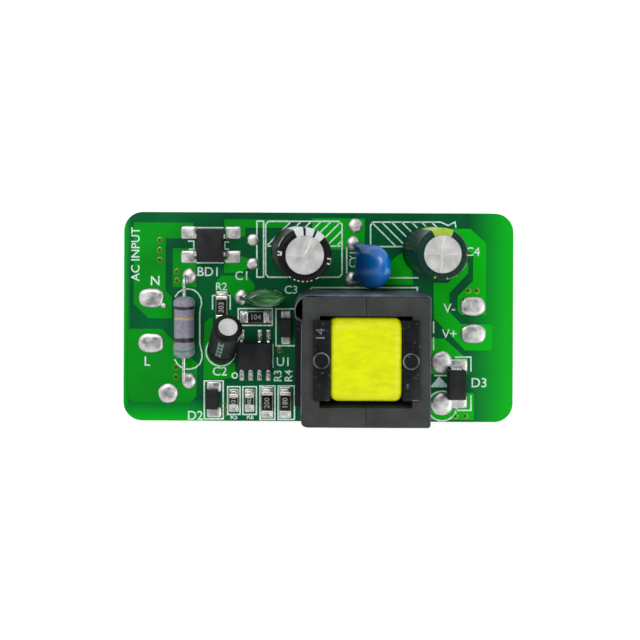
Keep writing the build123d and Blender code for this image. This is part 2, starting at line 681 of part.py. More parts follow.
# Green film capacitor: a dipped block, a pointed oval from above
lean, turn = radians(FILM_LEAN), radians(FILM_HEADING)
film_axis = Vector(sin(lean) * cos(turn), sin(lean) * sin(turn), cos(lean))
film_base = Plane((*FILM_CENTRE, PAD_TOP + FILM_LIFT), x_dir=(1, 0, -film_axis.X), z_dir=film_axis)
with BuildPart() as film_leads:
    for side, (foot_x, foot_y) in zip((-1, 1), FILM_FEET):
        exit_point = film_base.from_local_coords(Vector(side * FILM_LEAD_REACH, 0, 0.3))
        inside = exit_point + Vector(0, 0, FILM_LEAD_IN_BODY)
        knee = Vector(foot_x, foot_y, PAD_TOP + FILM_LEAD_KNEE)
        foot = Vector(foot_x, foot_y, UNDERSIDE)
        add(wire([inside, exit_point, knee, foot], FILM_LEAD_BEND, FILM_LEAD))
film_leads.part.label = "film_capacitor_leads"
export_step(film_leads.part, "parts/film_capacitor_leads.step")

film_outline = [(-FILM_HALF_LENGTH, 0)]
for side in (1, -1):
    for step in FILM_STEPS:
        x = side * step * FILM_HALF_LENGTH
        bow = sqrt(FILM_SIDE_RADIUS**2 - x**2) - FILM_SIDE_RADIUS
        film_outline.append((x, side * (bow + FILM_WIDTH / 2)))
    film_outline.append((side * FILM_HALF_LENGTH, 0))
film_outline.pop()
with BuildPart() as film_body:
    add(flat_sided(film_outline, film_base, FILM_RINGS))
    add(film_leads.part, mode=Mode.SUBTRACT)
film_body.part.label = "film_capacitor_body"
export_step(film_body.part, "parts/film_capacitor_body.step")

# Transformer: planes and levels that its pieces share
core_x, core_y = CORE_CENTRE
core_low = TOPSIDE + CORE_LIFT
core_high = core_low + CORE_HEIGHT
core_middle = (core_low + core_high) / 2
coil_plane = Plane((core_x, COIL_CENTRE_Y, core_middle), x_dir=(0, 1, 0), z_dir=(1, 0, 0))
post_offset = core_y - COIL_CENTRE_Y
rail_low = PAD_TOP + RAIL_GAP


def core_half(side):
    """One E-shaped ferrite half: back, two outer legs as tall as it, and a flat middle leg."""
    back = core_x + side * CORE_LENGTH / 2
    worn = CORE_WORN_CORNER if side < 0 else CORE_CORNER
    with BuildPart() as half:
        with BuildSketch(Plane.XY.offset(core_low)):
            with Locations(((core_x + back) / 2, core_y)):
                Rectangle(CORE_LENGTH / 2, CORE_WIDTH)
            with Locations((core_x, core_y)):
                Rectangle(CORE_LENGTH - 2 * CORE_BACK, CORE_WIDTH - 2 * CORE_LEG, mode=Mode.SUBTRACT)
        extrude(amount=CORE_HEIGHT)
        outer = half.edges().filter_by(Axis.Z).group_by(Axis.X)[0 if side < 0 else -1]
        fillet(outer.sort_by(Axis.Y)[0], worn)
        outer = half.edges().filter_by(Axis.Z).group_by(Axis.X)[0 if side < 0 else -1]
        fillet(outer.sort_by(Axis.Y)[-1], CORE_CORNER)
        with BuildSketch(Plane((core_x, core_y, core_middle), x_dir=(0, 1, 0), z_dir=(side, 0, 0))):
            Rectangle(CORE_POST_WIDTH, CORE_POST_HEIGHT)
        extrude(amount=CORE_LENGTH / 2 - CORE_BACK)
        seam = half.edges().filter_by(Axis.Y).group_by(Axis.Z)[-1].group_by(Axis.X)
        chamfer(seam[-1 if side < 0 else 0].sort_by(Axis.Y)[-1], SEAM_CHAMFER)
    return half.part


# Core: two ferrite halves that meet in the middle of the window
for name, side in (("core_half_left", -1), ("core_half_right", 1)):
    half = core_half(side)
    half.label = name
    export_step(half, f"parts/{name}.step")

# Winding: the copper coil, wound round the bobbin's tube between its cheeks
tube_width = CORE_POST_WIDTH + 0.2 + 2 * BOBBIN_WALL
tube_height = CORE_POST_HEIGHT + 0.2 + 2 * BOBBIN_WALL
with BuildPart() as winding:
    with BuildSketch(coil_plane.offset(-COIL_LENGTH / 2)):
        RectangleRounded(COIL_WIDTH - 2 * COIL_TAPE, COIL_HEIGHT - 2 * COIL_TAPE, COIL_CORNER)
        with Locations((post_offset, 0)):
            Rectangle(tube_width, tube_height, mode=Mode.SUBTRACT)
    extrude(amount=COIL_LENGTH)
winding.part.label = "winding"
export_step(winding.part, "parts/winding.step")

# Tape round the winding
with BuildPart() as winding_tape:
    with BuildSketch(coil_plane.offset(-COIL_LENGTH / 2)):
        RectangleRounded(COIL_WIDTH, COIL_HEIGHT, COIL_CORNER + COIL_TAPE)
        RectangleRounded(
            COIL_WIDTH - 2 * COIL_TAPE, COIL_HEIGHT - 2 * COIL_TAPE, COIL_CORNER,
            mode=Mode.SUBTRACT,
        )
    extrude(amount=COIL_LENGTH)
winding_tape.part.label = "winding_tape"
export_step(winding_tape.part, "parts/winding_tape.step")

# Pins: square, from inside the rails down through the board
with BuildPart() as transformer_pins:
    with BuildSketch(Plane.XY.offset(UNDERSIDE)):
        with Locations(*PIN_PLACES):
            Rectangle(PIN, PIN)
    extrude(amount=rail_low + PIN_IN_RAIL - UNDERSIDE)
transformer_pins.part.label = "transformer_pins"
export_step(transformer_pins.part, "parts/transformer_pins.step")

# Bobbin: a tube for the middle leg, two cheeks with ledges over the core, and two pin rails
with BuildPart() as bobbin:
    with BuildSketch(coil_plane.offset(-COIL_LENGTH / 2)):
        with Locations((post_offset, 0)):
            Rectangle(tube_width, tube_height)
    extrude(amount=COIL_LENGTH)
    ledge_high = core_high + LEDGE_THICKNESS
    for side in (-1, 1):
        inner = core_x + side * COIL_LENGTH / 2
        with BuildSketch(Plane.XY.offset(rail_low)):
            with Locations((inner + side * CHEEK / 2, COIL_CENTRE_Y)):
                Rectangle(CHEEK, CHEEK_WIDTH)
        extrude(amount=ledge_high - rail_low)
        with BuildSketch(Plane.XY.offset(core_high)):
            with Locations((inner + side * LEDGE_WIDTH / 2, COIL_CENTRE_Y)):
                Rectangle(LEDGE_WIDTH, CHEEK_WIDTH)
        extrude(amount=LEDGE_THICKNESS)
        outer = core_x + side * (CORE_LENGTH / 2 + RAIL_OVERHANG)
        with BuildSketch(Plane.XY.offset(rail_low)):
            with Locations(((inner + outer) / 2, core_y)):
                Rectangle(abs(outer - inner), RAIL_WIDTH)
        extrude(amount=core_low - rail_low)
    with BuildSketch(coil_plane.offset(-CORE_LENGTH / 2)):
        with Locations((post_offset, 0)):
            Rectangle(CORE_POST_WIDTH, CORE_POST_HEIGHT)
    extrude(amount=CORE_LENGTH, mode=Mode.SUBTRACT)
    add(transformer_pins.part, mode=Mode.SUBTRACT)
bobbin.part.label = "bobbin"
export_step(bobbin.part, "parts/bobbin.step")

# Core tape: one glossy turn round both halves, loose where its end bulges off a corner
with BuildPart() as core_tape:
    with BuildSketch(Plane.XY.offset(core_low)):
        with Locations((core_x, core_y)):
            RectangleRounded(CORE_LENGTH + 2 * CORE_TAPE, CORE_WIDTH + 2 * CORE_TAPE, CORE_CORNER)
        with Locations(TAPE_BULGE):
            Circle(TAPE_BULGE_RADIUS)
            Circle(TAPE_BULGE_RADIUS - CORE_TAPE, mode=Mode.SUBTRACT)
        with Locations((core_x, core_y)):
            Rectangle(CORE_LENGTH, CORE_WIDTH, mode=Mode.SUBTRACT)
    extrude(amount=CORE_HEIGHT - TAPE_DROP)
core_tape.part.label = "core_tape"
export_step(core_tape.part, "parts/core_tape.step")

# Solder on the upper side: a film on every surface pad, a fillet at each chip's end, a cone
# round each lead and a low dome over each filled hole
with BuildPart() as upper_solder:
    with BuildSketch(Plane.XY.offset(PAD_TOP)):
        for x, y, length, width in SURFACE_PADS:
            with Locations((x, y)):
                Rectangle(length, width)
        for package in (BRIDGE, CONTROLLER, RECTIFIER, SNUBBER_DIODE, BIAS_DIODE):
            with Locations(package["centre"]):
                Rectangle(*package["size"], mode=Mode.SUBTRACT)
        for chip in CHIPS.values():
            with Locations(chip["centre"]):
                turn = 90 if chip["along"] == "Y" else 0
                Rectangle(chip["length"], chip["width"], rotation=turn, mode=Mode.SUBTRACT)
    extrude(amount=SOLDER_FILM)
    for chip in CHIPS.values():
        for side in (-1, 1):
            along = (0, side, 0) if chip["along"] == "Y" else (side, 0, 0)
            across = (side, 0, 0) if chip["along"] == "Y" else (0, -side, 0)
            with BuildSketch(Plane((*chip["centre"], PAD_TOP), x_dir=along, z_dir=across)):
                with Locations((chip["length"] / 2, 0)):
                    Polygon((0, 0), (CHIP_FILLET[0], 0), (0, CHIP_FILLET[1]), align=None)
            extrude(amount=chip["width"] / 2, both=True)
    for place in VISIBLE_FEET:
        add(mound(place, PAD_TOP, FILLET_RISE, oval_corners(*FOOT_PAD, JOINT_SIDES), FILLET_TIP))
    for place, diameter in FILLED_HOLES:
        round_dome = oval_corners(diameter, diameter, JOINT_SIDES)
        add(mound(place, PAD_TOP, DOME_RISE, round_dome, DOME_TIP))
    for leads in (bridge_leads.part, controller_pins.part, rectifier_leads, *diode_tabs):
        add(leads, mode=Mode.SUBTRACT)
    for leads in (resistor_leads.part, disc_leads.part, film_leads.part):
        add(leads, mode=Mode.SUBTRACT)
upper_solder.part.label = "upper_solder"
export_step(upper_solder.part, "parts/upper_solder.step")

# Circuit board: laminate with its raised copper areas, drilled for its vias and its leads
with BuildPart() as circuit_board:
    with BuildSketch(Plane.XY.offset(UNDERSIDE)):
        RectangleRounded(BOARD_LENGTH, BOARD_WIDTH, BOARD_CORNER)
    extrude(amount=BOARD_THICKNESS)
    with BuildSketch(Plane.XY.offset(TOPSIDE)):
        copper_areas_top()
        pads()
        for x, y, length, width in SURFACE_PADS:
            with Locations((x, y)):
                Rectangle(length, width)
    extrude(amount=COPPER)
    with BuildSketch(Plane.XY.offset(UNDERSIDE)):
        with Locations(*VIAS):
            RegularPolygon(VIA_HOLE / 2, VIA_SIDES)
    extrude(amount=BOARD_THICKNESS + COPPER, mode=Mode.SUBTRACT)
    for leads in can_leads:
        add(leads, mode=Mode.SUBTRACT)
    for leads in (resistor_leads, disc_leads, film_leads, transformer_pins):
        add(leads.part, mode=Mode.SUBTRACT)
circuit_board.part.label = "circuit_board"
export_step(circuit_board.part, "parts/circuit_board.step")
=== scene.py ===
from math import cos, pi, radians, sin
import bmesh
import bpy
import numpy as np
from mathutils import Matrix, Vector


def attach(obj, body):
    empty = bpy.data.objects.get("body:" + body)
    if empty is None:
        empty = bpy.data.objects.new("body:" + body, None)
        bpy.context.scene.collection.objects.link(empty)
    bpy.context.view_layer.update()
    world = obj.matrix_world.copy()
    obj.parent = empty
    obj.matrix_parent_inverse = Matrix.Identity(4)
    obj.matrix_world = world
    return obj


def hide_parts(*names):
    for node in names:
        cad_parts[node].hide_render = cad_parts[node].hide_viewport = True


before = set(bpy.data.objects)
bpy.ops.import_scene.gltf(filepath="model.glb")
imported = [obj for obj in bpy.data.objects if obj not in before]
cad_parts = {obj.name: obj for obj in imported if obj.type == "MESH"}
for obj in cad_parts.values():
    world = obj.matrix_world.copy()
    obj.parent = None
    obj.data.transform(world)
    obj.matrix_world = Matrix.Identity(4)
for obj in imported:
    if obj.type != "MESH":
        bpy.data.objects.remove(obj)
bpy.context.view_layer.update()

# An open frame power supply, seen from straight above. Sizes are millimetres, apart from the studio's.
MM = 0.001

# Levels
UNDERSIDE = 1.5
BOARD_TOP = 3.1
PAD_TOP = 3.16
INK_LOW, INK_TOP = BOARD_TOP - 0.01, 3.175
SOLDER_FOOT, UNDER_FOOT = PAD_TOP - 0.01, UNDERSIDE + 0.01
LEAD_END = 0.6

# The photograph's board level: pixels for a millimetre, and the board's middle and turn in it
PHOTO_SCALE = 6.95
PHOTO_MIDDLE = (318.9, 316.9)
PHOTO_TURN = 0.28

# Camera: where its axis meets the board in the photograph, and how far above the board it is
NADIR = (297.0, 215.0)
CAMERA_RISE = 107.0
SENSOR = 36.0
PICTURE = 640.0

# Studio, in metres: half the floor, the sky's strength at the side and straight overhead, how upright
# the heading is where it starts and ends to fall, and the lamps (name, place, size, watts)
FLOOR_HALF = 0.6
WORLD_STRENGTH = 0.95
WORLD_OVERHEAD = 0.12
WORLD_DARK_FROM = (0.86, 0.97)
LAMPS = (
    ("key_light", (-0.10, 0.16, 0.30), 0.16, 0.42),
    ("fill_light", (0.22, -0.10, 0.26), 0.20, 0.25),
)

# Lands, joints and pads: places on the board
WIRE_LANDS = [(-24.0, 2.66), (-24.0, -3.8), (22.2, 1.67), (22.3, -2.3)]
LAND_SIZE = (3.7, 2.8)
LAND_RISE = 0.4
FILLED_HOLES = [
    ((-21.55, -11.0), 2.9), ((5.27, 13.17), 2.1), ((-9.48, 11.05), 1.8), ((-9.48, 7.61), 1.8),
    ((17.7, -6.4), 3.2), ((17.8, -12.4), 3.3),
]
VIAS = [
    (-22.85, 10.95), (-22.85, 9.5), (-22.85, 8.1), (-20.35, 6.45), (-20.35, 5.15),
    (-20.45, -7.3), (-20.45, -8.7), (-5.55, -4.75), (-13.5, -12.8), (-13.5, -13.95),
    (21.5, 3.9), (22.7, 3.9), (19.75, -14.15), (21.15, -14.15),
]
RESISTOR_FEET = [(-18.8, 5.8), (-18.8, -9.2)]
DISC_FEET = [(4.9, 10.6), (4.8, 5.45)]
FILM_FEET = [(-11.1, 2.8), (-6.1, 2.8)]
FOOT_PAD = (1.9, 2.3)
RESISTOR_PAD, RESISTOR_PAD_SHIFT = (2.1, 2.4), 0.25
PAD_RISE, FILLET_RISE, DOME_RISE = 0.24, 0.55, 0.42
UNDER_JOINT, UNDER_JOINT_FALL, UNDER_JOINT_TIP = (1.7, 1.7), 1.5, 0.3
VIA_RING = (0.33, 0.42)

# Pads of the packages: how far out from a middle they lie, and their length along X and Y
BRIDGE_PAD_ROWS, BRIDGE_PAD_OUT, BRIDGE_PAD = (12.07, 8.58), 3.15, (2.3, 1.85)
DIODE_PADS = [
    ((-14.95, -11.9), 1.85, (2.1, 1.5)), ((-4.65, -1.5), 1.75, (1.5, 1.4)),
    ((20.25, -9.45), 2.6, (2.4, 1.9)),
]
CONTROLLER_PAD_OUT, CONTROLLER_PAD = 2.9, (0.7, 1.6)

# Small drops of solder on each of the controller's pins: how far out, how wide and how high
PIN_DROPS_OUT, PIN_DROP, PIN_DROP_RISE = (2.62, 3.22), (0.5, 0.5), 0.3

# A stray drop beside the N land: where in the photograph, its size and its rise
STRAY_DROP, STRAY_DROP_SIZE, STRAY_DROP_RISE = (164.3, 305.2), (0.9, 0.8), 0.3

# Transformer
CORE_CENTRE = (6.08, -4.73)
CORE_LENGTH, CORE_WIDTH = 16.9, 17.2
CORE_LOW, CORE_HIGH = 4.6, 12.0
CORE_BACK, CORE_LEG = 2.3, 2.54
CORE_POST_WIDTH, CORE_POST_HEIGHT = 5.4, 3.2
CORE_WORN_CORNER, CORE_CORNER = 0.85, 0.32
CORE_SEAM = 0.015
COIL_CENTRE_Y = -4.45
COIL_LENGTH, COIL_WIDTH, COIL_HEIGHT = 9.5, 11.1, 8.8
COIL_CORNER = 1.75
COIL_END, COIL_END_DROP, TAPE_WALL = 1.1, 0.85, 0.15
CHEEK, CHEEK_WIDTH = 0.9, 10.6
LEDGE_WIDTH, LEDGE_THICKNESS = 2.26, 0.6
RAIL_LOW, RAIL_WIDTH, RAIL_OVERHANG = 3.26, 15.6, 1.0
TUBE_WALL = 0.8
BOBBIN_MARKS = ((0.15, -4.44), (11.93, -4.5))
BOBBIN_NUMBER = (0.05, -1.0)
BOBBIN_BAR = ((12.1, -9.65), (13.0, -9.5))
TAPE_BULGE, TAPE_BULGE_RADIUS = (-1.2, 1.9), 2.25
TAPE_GAP, TAPE_THICKNESS, TAPE_MARGIN = 0.08, 0.13, 0.25
PIN_PITCH, PIN_ROW_OUT = 3.5, 0.1

# Can capacitors: where each stands, how it leans, its size, its vent and its lead row
SLEEVE = 0.14
GROOVE, GROOVE_DEPTH = (1.15, 2.15), 0.28
SHOULDER = 0.75
SCORE_WIDTH, SCORE_DEPTH, DISC_DISH = 0.07, 0.03, 0.04
CAN_WALL_FROM, CAN_LEAD_KNEE = 2.4, 0.45
CANS = {
    "input_capacitor": dict(
        seat=(-3.35, 9.54), lift=0.42, lean=6.0, heading=0.0, lead_line=90.0,
        diameter=7.1, length=11.8, disc=4.96, pitch=2.5, scores=(68, 180, 300),
    ),
    "output_capacitor": dict(
        seat=(15.31, 9.70), lift=0.16, lean=1.7, heading=0.0, lead_line=90.0,
        diameter=6.8, length=11.3, disc=4.88, pitch=2.5, scores=(0, 84, 180, 266),
    ),
    "bias_capacitor": dict(
        seat=(-13.8, -4.72), lift=1.32, lean=36.0, heading=71.0, lead_line=-19.0,
        diameter=4.1, length=8.0, disc=2.56, pitch=1.9, scores=(),
    ),
}

# Fusible resistor, disc capacitor and film capacitor
RESISTOR_MIDDLE = (-19.05, -1.3, PAD_TOP + 1.62)
RESISTOR_LENGTH, RESISTOR_DIAMETER, RESISTOR_WAIST = 8.7, 3.05, 2.84
DISC_CENTRE = (7.5, 7.5, BOARD_TOP + 2.97)
DISC_RADIUS, DISC_HALF_THICKNESS, DISC_LEAN = 3.1, 1.45, 42.0
DISC_SQUARE = 3.0
DISC_NECKS = ((2.2, 1.6), (-1.2, 2.2))
DISC_NECK_RADIUS, DISC_KNEE = 1.1, 0.75
FILM_CENTRE = (-8.1, 2.95)
FILM_SIDE_RADIUS, FILM_WIDTH, FILM_HALF_LENGTH, FILM_HEIGHT = 4.7, 2.45, 2.95, 5.9
FILM_LIFT, FILM_LEAN, FILM_HEADING = 1.0, 9.0, 28.0
FILM_NECK_RADIUS, FILM_LEAD_REACH, FILM_KNEE = 0.8, 2.1, 0.5
DIP_GRAIN = 0.11
LEAD = 0.5

# Moulded packages and chips
PACKAGES = {
    "bridge": dict(centre=(-15.5, 10.3), size=(3.85, 4.7), gap=0.15, height=2.4, parting=1.25),
    "controller": dict(centre=(-9.06, -5.5), size=(4.9, 3.9), gap=0.12, height=1.5, parting=0.8),
    "rectifier": dict(centre=(19.65, -9.35), size=(2.6, 4.2), gap=0.1, height=2.2, parting=1.15),
    "snubber_diode": dict(centre=(-4.65, -1.5), size=(1.75, 2.75), gap=0.05, height=1.05, parting=0.25),
    "bias_diode": dict(centre=(-15.2, -11.8), size=(1.75, 2.8), gap=0.05, height=1.05, parting=0.25),
}
PACKAGE_SLOPE, PACKAGE_CORNER = 0.123, 0.1
BRIDGE_PITCH, CONTROLLER_PITCH = 2.54, 1.27

# Flat leads: thickness and depth in the body, then rise, width, shoulder and foot beyond the body
STRIP, STRIP_IN_BODY = 0.2, 0.3
BRIDGE_STRIP = dict(rise=1.25, width=0.64, shoulder=0.3, foot=1.3)
CONTROLLER_STRIP = dict(rise=0.8, width=0.4, shoulder=0.25, foot=1.05)
RECTIFIER_STRIP = dict(rise=1.15, width=1.5, shoulder=0.15, foot=0.42)
DIODE_TAB_WIDTH, DIODE_TAB_IN_BODY, DIODE_TAB_REACH = 1.0, 0.5, 0.45

# Chip resistors
CHIPS = {
    "chip_resistor_1": dict(centre=(-13.9, 1.4), length=3.2, width=1.6, along="Y", mark="303"),
    "chip_resistor_2": dict(centre=(-9.0, 0.0), length=3.2, width=1.6, along="X", mark="104"),
    "chip_resistor_3": dict(centre=(-7.3, -12.25), length=3.2, width=1.6, along="Y", mark="200"),
    "chip_resistor_4": dict(centre=(-4.7, -12.25), length=3.2, width=1.6, along="Y", mark="180"),
    "chip_resistor_5": dict(centre=(-12.1, -12.0), length=2.0, width=1.25, along="Y", mark="221"),
    "chip_resistor_6": dict(centre=(-9.84, -12.0), length=2.0, width=1.25, along="Y", mark="303"),
}
CHIP_RISE, CHIP_CAP = 0.63, 0.5
CHIP_PAD_BEYOND, CHIP_PAD, CHIP_PAD_MARGIN = 0.1, 1.2, 0.2
CHIP_FILLET_BEYOND, CHIP_FILLET, CHIP_FILLET_RISE = 0.12, 0.85, 0.46

# Legend, in pixels of the photograph: closed and open routes, circles (middle, radius), hatched
# boxes (left, right, low, high, pitch, slope) and words (letters, middle, size in millimetres, turn)
LEGEND_WIDTH = 0.2
LEGEND_TRIANGLE = [(430.5, 387.0), (449.5, 387.0), (439.5, 376.2)]
LEGEND_LOOPS = [
    [(257.4, 221), (264.1, 221), (264.1, 277), (257.4, 277)],
    [
        (269, 221.2), (339.5, 221.2), (342.5, 224.2), (342.5, 274), (339.5, 277.1), (269, 277.1),
        (266.2, 274), (266.2, 224.2),
    ],
    [(204.8, 380.7), (223.7, 380.7), (223.7, 418.6), (204.8, 418.6)],
    [(228.2, 386.5), (240.6, 386.5), (240.6, 414.2), (228.2, 414.2)],
    [(243.4, 386.5), (256.9, 386.5), (256.9, 414.2), (243.4, 414.2)],
    [(260.5, 385.8), (275.4, 385.8), (275.4, 419.2), (260.5, 419.2)],
    [(278.6, 385.8), (294.9, 385.8), (294.9, 419.2), (278.6, 419.2)],
    [(238.8, 308.4), (272.8, 308.4), (272.8, 325.2), (238.8, 325.2)],
]
LEGEND_LINES = [
    [(266.2, 246), (342.5, 246)],
    [(371, 246.5), (371, 225), (374, 222), (441, 222), (448.6, 225.4), (455.3, 222), (456.3, 227.5)],
    [(371, 246.5), (412, 246.5)],
    [(390, 277.7), (419, 277.7)],
    [(309.9, 289.8), (312.4, 287.5), (417.8, 287.5), (417.8, 290.5)],
    [(434, 321), (434, 333)],
    [(434, 337), (434, 350)],
    [(347.2, 247), (347.2, 273)],
    [
        (175.7, 296.8), (178.6, 292.5), (183, 289.7), (188.6, 288.7), (194, 289.7), (198.5, 293),
        (201.5, 298),
        (202.2, 304), (200.9, 308), (200.3, 313), (200.3, 343), (201.2, 347.5), (202.4, 352), (202.6, 358),
        (200.5, 363.5), (196, 367.5), (190, 369), (184, 368.5), (178.5, 364.5), (175, 359),
    ],
    [(296, 308.7), (276.5, 308.7), (276.5, 345.6), (297, 345.6)],
    [(273.5, 343.5), (273.5, 367.5)],
    [(197, 227.6), (224, 227.6)],
    [(197, 262.7), (224, 262.7)],
    [(188.5, 241), (194.4, 241), (194.4, 249), (189.5, 249)],
    [(229.5, 241.8), (225.4, 241.8), (225.4, 249), (229.5, 249)],
    [(213.1, 309.4), (213.1, 295.4), (230.7, 295.4), (230.7, 309.4)],
    [(455.3, 356.9), (471.3, 356.9), (471.3, 371.6)],
    [(455.3, 410.1), (471.3, 410.1), (471.3, 395.1)],
    [(434.5, 375.4), (449, 375.4)],
]
LEGEND_CIRCLES = [((221.3, 351.2), 14.7), ((442.5, 405.8), 14.8), ((235.3, 375.3), 2.6)]
LEGEND_HATCHES = [(267, 342, 222, 246, 10, 1), (372, 441, 222, 246, 10, -1)]
LEGEND_WORDS = [
    ("BD1", (209, 272), 1.35, 0), ("C1", (242.7, 276), 1.3, 0), ("R2", (221.8, 286.8), 1.15, 0),
    ("C3", (291.6, 290), 1.2, 0), ("C2", (220.3, 371.5), 1.3, 0), ("U1", (284, 362), 1.3, 0),
    ("R3", (278.7, 375.7), 1.15, 90), ("R4", (289.4, 375.7), 1.15, 90), ("D2", (195.7, 415.7), 1.35, 0),
    ("R5", (234.5, 416.9), 0.7, 0), ("R6", (250.6, 416.9), 0.7, 0), ("D3", (479.4, 383), 1.4, 0),
    ("C4", (473, 252), 1.3, 0), ("N", (155.8, 281), 1.4, 0), ("L", (147.6, 361.5), 1.4, 0),
    ("V-", (450, 308.5), 1.35, 0), ("V+", (450, 334), 1.35, 0), ("AC INPUT", (136.5, 254), 1.25, 90),
    ("CY1", (353.6, 259), 1.0, 90),
]


# Shapes: every surface below is a whole array of points, in millimetres


def net(points, flip=False):
    """Quads over a grid of points (rows, columns, 3), with a UV from 0 to 1 along rows and columns.

    Every shell is (points, quads, other faces, uv): point (i, j) is joined to (i, j + 1), (i + 1, j + 1)
    and (i + 1, j).
    """
    points = np.asarray(points, float)
    rows, columns = points.shape[:2]
    row, column = np.meshgrid(np.arange(rows - 1), np.arange(columns - 1), indexing="ij")
    corner = row * columns + column
    faces = np.stack([corner, corner + 1, corner + columns + 1, corner + columns], -1).reshape(-1, 4)
    if flip:
        faces = faces[:, ::-1]
    along, across = np.meshgrid(np.linspace(0, 1, rows), np.linspace(0, 1, columns), indexing="ij")
    return points.reshape(-1, 3), faces, [], np.stack([across, along], -1).reshape(-1, 2)


def axes_for(axis, side=(1.0, 0.0, 0.0)):
    """Three unit vectors: one across towards side, the second square to it, the third along axis."""
    axis = np.asarray(axis, float) / np.linalg.norm(axis)
    across = np.asarray(side, float) - axis * np.dot(side, axis)
    across /= np.linalg.norm(across)
    return across, np.cross(axis, across), axis


def turned(profile, base, axis=(0, 0, 1), side=(1, 0, 0), steps=64, wobble=0.0, phase=0.0):
    """A profile of (radius, height) rows turned round an axis: p = base + r(cos a, sin a) + h axis.

    wobble swells the radius by 1 + wobble sin(3a + phase) sin(a + 0.7 phase), for hand-made shapes.
    """
    profile = np.asarray(profile, float)
    across, square, along = axes_for(axis, side)
    angle = np.linspace(0, 2 * pi, steps + 1)
    swell = 1 + wobble * np.sin(3 * angle + phase) * np.sin(angle + 0.7 * phase)
    radius = profile[:, :1] * swell[None, :]
    ring = np.cos(angle)[:, None] * across + np.sin(angle)[:, None] * square
    points = np.asarray(base) + radius[..., None] * ring[None] + profile[:, 1][:, None, None] * along
    return net(points)


def eased(points, bend, steps=6):
    """A route whose corners are curves: (1-t)^2 a + 2t(1-t) corner + t^2 b, with a and b bend away."""
    points = np.asarray(points, float)
    t = np.linspace(0, 1, steps)[:, None]
    runs = [points[:1]]
    for before, corner, after in zip(points, points[1:], points[2:]):
        a = corner + (before - corner) / np.linalg.norm(before - corner) * bend
        b = corner + (after - corner) / np.linalg.norm(after - corner) * bend
        runs.append((1 - t) ** 2 * a + 2 * t * (1 - t) * corner + t**2 * b)
    return np.vstack(runs + [points[-1:]])


def carried(route, section, side, swell=1.0):
    """A flat section (n, 2) carried along a route (m, 3), its first axis kept square to the run and side.

    Each point is route + swell (x * normal + y * binormal). Both ends are closed to their middle.
    """
    route, section = np.asarray(route, float), np.asarray(section, float)
    run = np.gradient(route, axis=0)
    run /= np.linalg.norm(run, axis=1)[:, None]
    binormal = np.broadcast_to(np.asarray(side, float), route.shape)
    binormal = binormal - run * np.sum(binormal * run, 1)[:, None]
    binormal = binormal / np.linalg.norm(binormal, axis=1)[:, None]
    normal = np.cross(binormal, run)
    swell = np.broadcast_to(swell, len(route))[:, None, None]
    rings = (
        route[:, None]
        + swell * section[None, :, :1] * normal[:, None]
        + swell * section[None, :, 1:] * binormal[:, None]
    )
    ends = [np.broadcast_to(route[i], rings[:1].shape) for i in (0, -1)]
    return net(np.concatenate([ends[0], rings, ends[1]]))


def round_section(radius, sides=16):
    """A circle of points for a wire."""
    angle = np.linspace(0, 2 * pi, sides + 1)
    return np.stack([np.cos(angle), np.sin(angle)], 1) * radius


def flat_section(thickness, width, soft=0.03):
    """A strip's section: a rectangle whose corners are cut by soft."""
    a, b = thickness / 2, width / 2
    corners = [
        (a - soft, -b), (a, -b + soft), (a, b - soft), (a - soft, b),
        (soft - a, b), (-a, b - soft), (-a, soft - b), (soft - a, -b), (a - soft, -b),
    ]
    return np.array(corners)


def rounded_outline(corners, radius, steps=5):
    """A closed outline with its corners eased: the curve of two equal tangents at each corner."""
    corners = np.asarray(corners, float)
    radius = np.broadcast_to(radius, len(corners))
    before = np.roll(corners, 1, 0) - corners
    after = np.roll(corners, -1, 0) - corners
    before /= np.linalg.norm(before, axis=1)[:, None]
    after /= np.linalg.norm(after, axis=1)[:, None]
    t = np.linspace(0, 1, steps)[None, :, None]
    a = (corners + before * radius[:, None])[:, None]
    b = (corners + after * radius[:, None])[:, None]
    middle = corners[:, None]
    return ((1 - t) ** 2 * a + 2 * t * (1 - t) * middle + t**2 * b).reshape(-1, 2)


def rounded_shape(corners, radius, steps=5):
    """An eased outline as a function of how far it is drawn in.

    An outer corner's radius is radius - inset, an inner one's radius + inset.
    """
    corners = np.asarray(corners, float)
    radius = np.broadcast_to(radius, len(corners))
    before, after = corners - np.roll(corners, 1, 0), np.roll(corners, -1, 0) - corners
    outer = before[:, 0] * after[:, 1] > before[:, 1] * after[:, 0]

    def shape(inset):
        ease = np.maximum(np.where(outer, radius - inset, radius + inset), 0.02)
        return rounded_outline(drawn_in(corners, inset), ease, steps)

    return shape


def bar_outline(length, width, radius, centre=(0, 0), steps=5):
    """A rectangle with round corners, as a function of how far it is drawn in."""
    a, b = length / 2, width / 2
    box = np.array([(-a, -b), (a, -b), (a, b), (-a, b)]) + np.asarray(centre)
    return rounded_shape(box, radius, steps)


def drawn_in(outline, amount):
    """The outline with each side moved inwards by amount, its corners mitred."""
    if amount == 0:
        return outline
    before = outline - np.roll(outline, 1, 0)
    after = np.roll(outline, -1, 0) - outline
    before /= np.linalg.norm(before, axis=1)[:, None] + 1e-12
    after /= np.linalg.norm(after, axis=1)[:, None] + 1e-12
    left_before = np.stack([-before[:, 1], before[:, 0]], 1)
    left_after = np.stack([-after[:, 1], after[:, 0]], 1)
    middle = left_before + left_after
    middle /= np.linalg.norm(middle, axis=1)[:, None] + 1e-12
    share = np.clip(np.sum(middle * left_after, 1), 0.35, 1)
    return outline + middle * (amount / share)[:, None]


